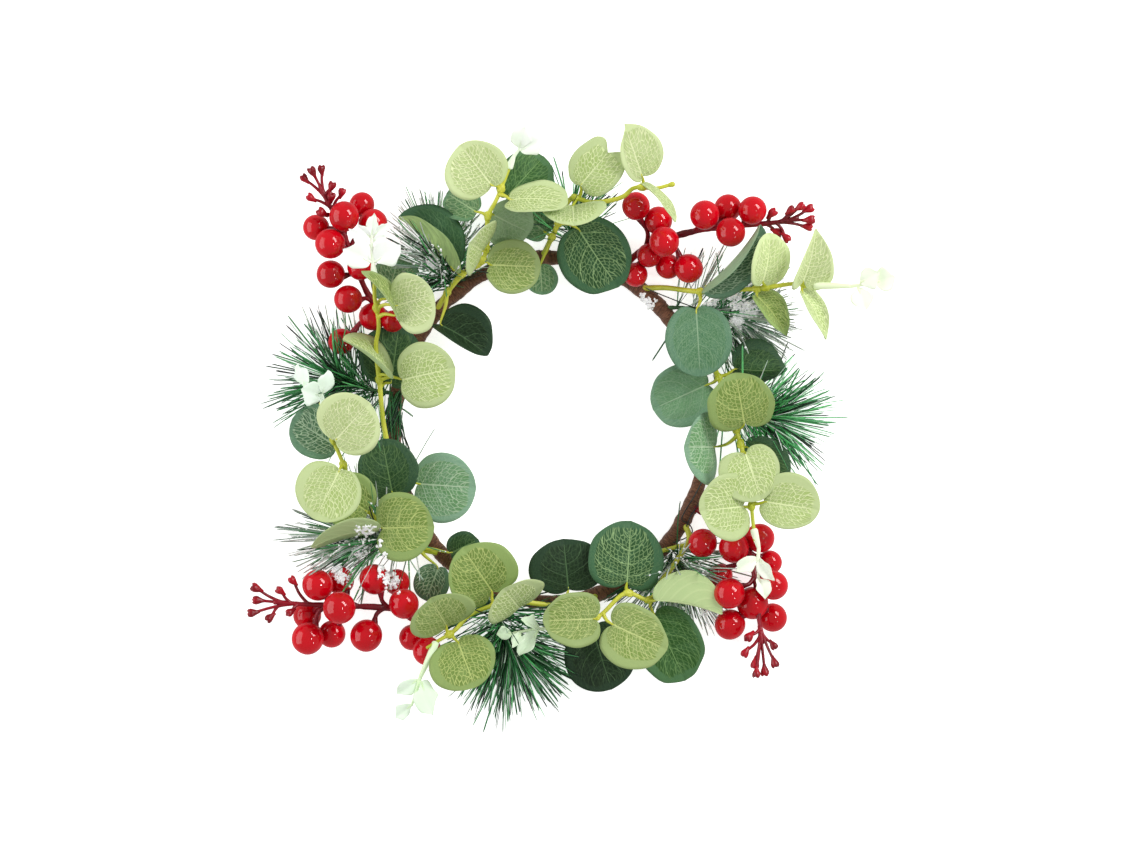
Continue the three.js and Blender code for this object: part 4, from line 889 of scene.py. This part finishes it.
def make_pick(number, stem, berry_rows, bud_rows):
    """Berries on short stalks along a dark red stem, with a spray of lobed buds at its end."""
    berries, wood = Shape(), Shape()
    lumps = 1 + 0.12 * np.sin(np.linspace(0, 31, 70) + number) + rng.normal(0, 0.04, 70)
    wood.add(*tube(smooth_curve(stem, 70), BERRY_STEM_RADIUS * np.linspace(1.1, 0.62, 70) * lumps, 12))
    for *middle, radius in berry_rows:
        middle = vec(middle)
        root, ahead = nearest_on_stem(stem, middle, PEDICEL_BACK)
        away = unit(middle - root)
        entry = middle - away * radius * 0.9
        aside = unit(ahead - away * away.dot(ahead) + (0, 0, 0.01))
        bow = 0.16 * norm(entry - root) * aside
        line = smooth_curve([root, root * 0.5 + entry * 0.5 + bow, entry], 12)
        wood.add(*tube(line, steps(12, [0, 0.15, 0.65, 1], [1.5, 1.2, 1.1, 2.0]), 10))
        wood.add(*tube([entry - away * 0.9, entry + away * 0.2, entry + away * 0.9], [1.2, 1.9, 2.1], 12))
        berries.add(*ball(middle, radius, away, 36, 24, dimple=0.02, stretch=1.03))
    for k, head in enumerate(bud_rows):
        top = vec(head)
        root, ahead = nearest_on_stem(stem, top, BUD_BACK + 2.5 * (k % 3))
        gap = norm(top - root)
        aim = unit(unit(top - root) + 0.25 * ahead)
        neck = top - aim * 2.4
        line = smooth_curve([root, root * 0.5 + neck * 0.5 + ahead * 0.07 * gap, neck], 12)
        wood.add(*tube(line, steps(12, [0, 0.2, 0.8, 1], [1.2, 0.86, 0.74, 0.88]), 9))
        wood.add(*bud_head(aim, top, rng.uniform(1.02, 1.24)), 1)
    fruit = berries.make(f"pick_{number}_berries", [BERRY_RED])
    twigs = wood.make(f"pick_{number}_stems", [BERRY_STEM, BUD_RED])
    for piece in (fruit, twigs):
        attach(piece, "root")
        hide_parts(f"berry_pick_{number}")
    return berries


def make_ring():
    """The oval ring in its spiral of brown tape, swollen where stems are bound in, and flat underneath."""
    turn = np.arange(RING_STEPS) / RING_STEPS * 2 * pi
    centre = np.c_[RING_HALF_X * np.cos(turn), RING_HALF_Y * np.sin(turn)]
    outward = np.c_[np.cos(turn) / RING_HALF_X, np.sin(turn) / RING_HALF_Y]
    outward /= norm(outward, axis=1)[:, None]
    run = np.concatenate([[0], np.cumsum(norm(np.diff(centre, axis=0), axis=1))])
    total = run[-1] + norm(centre[0] - centre[-1])
    wraps = round(total / TAPE_PITCH)
    roots = [group[0][0] for group in (*SPRAYS.values(), *PICKS.values())]
    roots += [sprig["core"][0] for sprig in SPRIGS.values()]
    gaps = np.min([np.hypot(centre[:, 0] - root[0], centre[:, 1] - root[1]) for root in roots], axis=0)
    swell = BINDING_SWELL * np.exp(-((gaps / BINDING_REACH) ** 2))
    drift = rng.normal(0, 0.035, 119)
    uneven = np.interp(run, np.linspace(0, total, 120), np.append(drift, drift[0]))
    verts, lay, wrap = [], [], []
    for k in range(RING_SIDES):
        around = (k + 0.5) / RING_SIDES * 2 * pi
        phase = (run / total * wraps + around / (2 * pi)) % 1.0
        ridge = TAPE_EDGE * (1 - phase) ** 1.5 + 0.02 * np.sin(12 * phase + 3 * around)
        radius = RING_RADIUS * (1 + swell + uneven + ridge)
        out, height = radius * cos(around), RING_FLAT * (1 + swell * 0.9) + radius * sin(around)
        verts.append(np.c_[centre + outward * out[:, None], np.maximum(height, 0.02 * (around > 3.2))])
        across = (cos(around) * 1.6, sin(around) * 1.6)
        lay.append(np.c_[run * 2.1, np.tile(across, (RING_STEPS, 1))])
        wrap.append(np.c_[phase, phase, phase])
    verts, lay, wrap = [np.stack(rows, axis=1).reshape(-1, 3) for rows in (verts, lay, wrap)]
    shape = Shape()
    shape.add(verts, bands(RING_STEPS, RING_SIDES, closed=True), 0, lay=lay, wrap=wrap)
    for wire in LOOSE_WIRES:
        shape.add(*tube(smooth_curve(wire, 60), WIRE_RADIUS, 6), 1)
    piece = shape.make("ring_tape", [TAPE, WIRE])
    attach(piece, "root")
    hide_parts("wrapped_ring")
    return shape


def needle(root, aim, length, width, bend):
    """A film needle: a slim three-sided strip that bends and ends bluntly."""
    side = unit(np.cross(aim, rng.normal(0, 1, 3)))
    flat = np.cross(side, aim)
    verts = []
    for t, share in ((0, 0.7), (0.33, 1.0), (0.7, 1.0), (0.96, 0.9), (1, 0.4)):
        middle = root + aim * length * t + bend * t * t
        half = share * width / 2
        verts += [middle - side * half, middle + side * half, middle + flat * 0.3 * share]
    verts = np.array(verts)
    verts[:, 2] = np.maximum(verts[:, 2], LOWEST)
    return verts, [(2, 1, 0), (12, 13, 14)] + turned(bands(5, 3))


def crumb(shape, place, spread, least, most, lift=0):
    """One crumb of flock near a place, a ragged little ball."""
    place = place + rng.normal(0, spread, 3) + (0, 0, rng.uniform(0, lift) if lift else 0)
    verts, faces = ball((0, 0, 0), rng.uniform(least, most), rng.normal(0, 1, 3), 6, 5)
    verts = verts * rng.uniform(0.55, 1.5, (len(verts), 1)) + place
    verts[:, 2] = np.maximum(verts[:, 2], LOWEST)
    shape.add(verts, faces, 1, tint=1.0)


def add_needle(shape, root, aim, reach, tints, glow=NEEDLE_GLOW):
    """Adds one needle, a little bent and darker at its tip, and gives back points along it."""
    bend = rng.normal(0, 1.0, 3) * reach * 0.06
    bend[2] = abs(bend[2]) * (1 if root[2] + aim[2] * reach < 4 else -1)
    tint = linear(tints[rng.integers(len(tints))]) * rng.uniform(0.8, 1.25) * glow
    verts, faces = needle(root, aim, reach, NEEDLE_WIDTH * rng.uniform(0.75, 1.2), bend)
    fade = np.repeat([1.0, 1.0, 0.9, 0.7, 0.6], 3)[:, None]
    shape.add(verts, faces, 0, tint=np.minimum(tint * fade, 0.9))
    t = np.linspace(0.1, 1, 19)[:, None]
    return root + aim * reach * t + bend * t * t


def add_clump(shape, middle, size, lines, ground, leaves):
    """A clump of flock: crumbs on the needles that pass near its middle and on what lies below it,
    but not on the leaves given."""
    for line in lines:
        gaps = norm(line - middle, axis=1)
        for place in line[gaps < SNOW_REACH * size]:
            for _ in range(SNOW_CRUMBS if rng.random() < 0.7 else 0):
                crumb(shape, place, 0.5, 0.3, 0.8)
    spread = rng.normal(0, size, (round(SNOW_SPOTS * size), 2)) * SNOW_SPREAD @ [[0.8, 0.5], [-0.5, 0.8]]
    for spot in middle[:2] + spread:
        fall = (Vector((*spot, middle[2] + SNOW_DROP)), Vector((0, 0, -1)), 2 * SNOW_DROP)
        hit = ground.ray_cast(*fall)[0]
        covered = leaves is not None and leaves.ray_cast(*fall)[0]
        if hit is not None and not covered:
            for _ in range(3):
                crumb(shape, np.array(hit), 0.5, 0.3, 0.85, 1.2)


def free_aim(tree, root, axes, tuft_lean, tuft_turn, rise, full):
    """A needle's direction and length, turned aside or shortened until it meets no other piece."""
    ahead, level, raised = axes
    for attempt in range(5):
        lean = abs(tuft_lean + rng.normal(0, 0.28))
        turn = tuft_turn + rng.normal(0, 0.3) + attempt * 0.9
        height = rise - 0.2 * attempt
        aim = ahead * cos(lean) + level * sin(lean) * cos(turn)
        aim = unit(aim + raised * sin(lean) * sin(turn) * height)
        reach = full * (1.0 if attempt < 3 else 0.7)
        if root[2] + aim[2] * reach < LOWEST_AIM:
            aim[2] = (LOWEST_AIM - root[2]) / reach
            aim = unit(aim)
        if tree.ray_cast(Vector(root), Vector(aim), reach + 1.0)[0] is None:
            return aim, reach
    return None, 0


def make_sprig(number, trees, core, reach, tufts=40, bunching=0.45, closing=30, rise=0.8, glow=NEEDLE_GLOW,
               snow=(), drifts=False, veil=(), strays=()):
    """A pine sprig: tufts of film needles all round a twisted core, fanning out past its end."""
    tree, ground, leaves = trees
    shape = Shape()
    path = smooth_curve(core, 101)
    shape.add(*tube(path[::4], CORE_RADIUS * (1 + 0.12 * np.sin(np.arange(26) * 2.1)), 9), 2, tint=1.0)
    lines = []
    for i in range(tufts):
        share = FIRST_TUFT + (1 - FIRST_TUFT) * ((i + 0.5) / tufts) ** bunching
        at = min(int(share * 100), 99)
        root, ahead = path[at], unit(path[at + 1] - path[max(at - 1, 0)])
        level = unit(vec([-ahead[1], ahead[0], 0]))
        axes = (ahead, level, np.cross(ahead, level))
        lean = radians(TUFT_LEAN - closing * share**3 + rng.normal(0, 8))
        turn = i * GOLDEN_TURN + rng.normal(0, 0.3)
        for _ in range(NEEDLES_IN_TUFT):
            full = reach * rng.triangular(0.5, 0.92, 1.04)
            aim, length = free_aim(tree, root, axes, lean, turn, rise, full)
            if aim is None:
                continue
            tints = FROSTED_TINTS if snow and rng.random() < FROSTED_SHARE * share else PINE_TINTS
            start = root + ahead * rng.normal(0, 0.8)
            lines.append(add_needle(shape, start, aim, length, tints, glow))
            if snow and rng.random() < 0.3:
                for place in lines[-1][rng.integers(3, 18, rng.integers(2, 7))]:
                    crumb(shape, place, 0.3, 0.25, 0.6)
    for start, end in strays:
        run = vec(end) - start
        add_needle(shape, vec(start), unit(run), norm(run), STRAY_TINTS)
    for start, end, count in veil:
        for _ in range(count):
            low, high = [vec(spot) + rng.normal(0, 0.5, 3) * VEIL_SPREAD for spot in (start, end)]
            run = high - low
            if tree.ray_cast(Vector(low), Vector(unit(run)), norm(run))[0] is None:
                add_needle(shape, low, unit(run), norm(run), SHADED_TINTS)
    for *middle, size in snow:
        kept_off = None if drifts else leaves
        add_clump(shape, vec(middle), size, (*lines, path[::3]), ground, kept_off)
    piece = shape.make(f"sprig_{number}_needles", [NEEDLE, SNOW, CORE])
    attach(piece, "root")
    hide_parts(f"pine_sprig_{number}")


def tree_of(shapes):
    """A search tree of the surfaces of several shapes."""
    corners, walls = [], []
    for shape in shapes:
        walls += [tuple(i + len(corners) for i in face) for face in shape.faces]
        corners += [tuple(v) for v in np.vstack(shape.verts)]
    return BVHTree.FromPolygons(corners, walls)


ring = make_ring()
foliage = [make_spray(number, *spray) for number, spray in SPRAYS.items()]
foliage += [make_tip(number, *tip) for number, tip in TIPS.items()]
fruit = [make_pick(number, *pick) for number, pick in PICKS.items()]
trees = [tree_of(shapes) for shapes in (foliage + fruit, [*foliage, *fruit, ring], foliage)]
for number, sprig in SPRIGS.items():
    make_sprig(number, trees, **sprig)


def add_floor(half):
    """A plain white surface under the wreath, bright enough that shadows stay faint."""
    mesh = bpy.data.meshes.new("floor")
    corners = [(-half, -half, 0), (half, -half, 0), (half, half, 0), (-half, half, 0)]
    mesh.from_pydata(corners, [], [(0, 1, 2, 3)])
    white = Nodes("white_floor")
    mesh.materials.append(white.set(base_color=linear((238, 238, 238)), roughness=0.9, specular_ior_level=0.1,
                                    emission_color=(1, 1, 1), emission_strength=FLOOR_GLOW))
    floor = new_object("floor", mesh)
    floor.visible_glossy = False


def add_light(name, place, size, power):
    """A soft light that faces the wreath, round if it is as wide as it is high."""
    lamp = bpy.data.lights.new(name, "AREA")
    lamp.shape = "DISK" if size[0] == size[1] else "RECTANGLE"
    lamp.size, lamp.size_y = size
    lamp.energy = power
    light = new_object(name, lamp)
    light.location = place
    light.rotation_euler = (-Vector(place)).to_track_quat("-Z", "Y").to_euler()


add_floor(FLOOR_HALF)
for name, light in LIGHTS.items():
    add_light(name, *light)

world = bpy.data.worlds.new("studio")
world.use_nodes = True
world.node_tree.nodes["Background"].inputs["Color"].default_value = (1, 1, 1, 1)
world.node_tree.nodes["Background"].inputs["Strength"].default_value = WORLD_GLOW
bpy.context.scene.world = world
bpy.context.scene.view_settings.view_transform = "Standard"

# The camera looks straight down, as in the photograph: half a millimetre for each of its pixels
# at a height of VIEW_HEIGHT.
VIEW_MIDDLE = (10.0, 1.25)
VIEW_WIDTH = 570
VIEW_HEIGHT = 25
LENS = 135
SENSOR = 36
camera_data = bpy.data.cameras.new("camera")
camera_data.lens = LENS
camera_data.sensor_width = SENSOR
camera_data.clip_end = 20
camera = new_object("camera", camera_data)
distance = VIEW_WIDTH * LENS / SENSOR
camera.location = (ORIGIN + (*VIEW_MIDDLE, VIEW_HEIGHT + distance)) * MM
bpy.context.scene.camera = camera


def plain(box):
    return [[float(v) for v in corner] for corner in box]
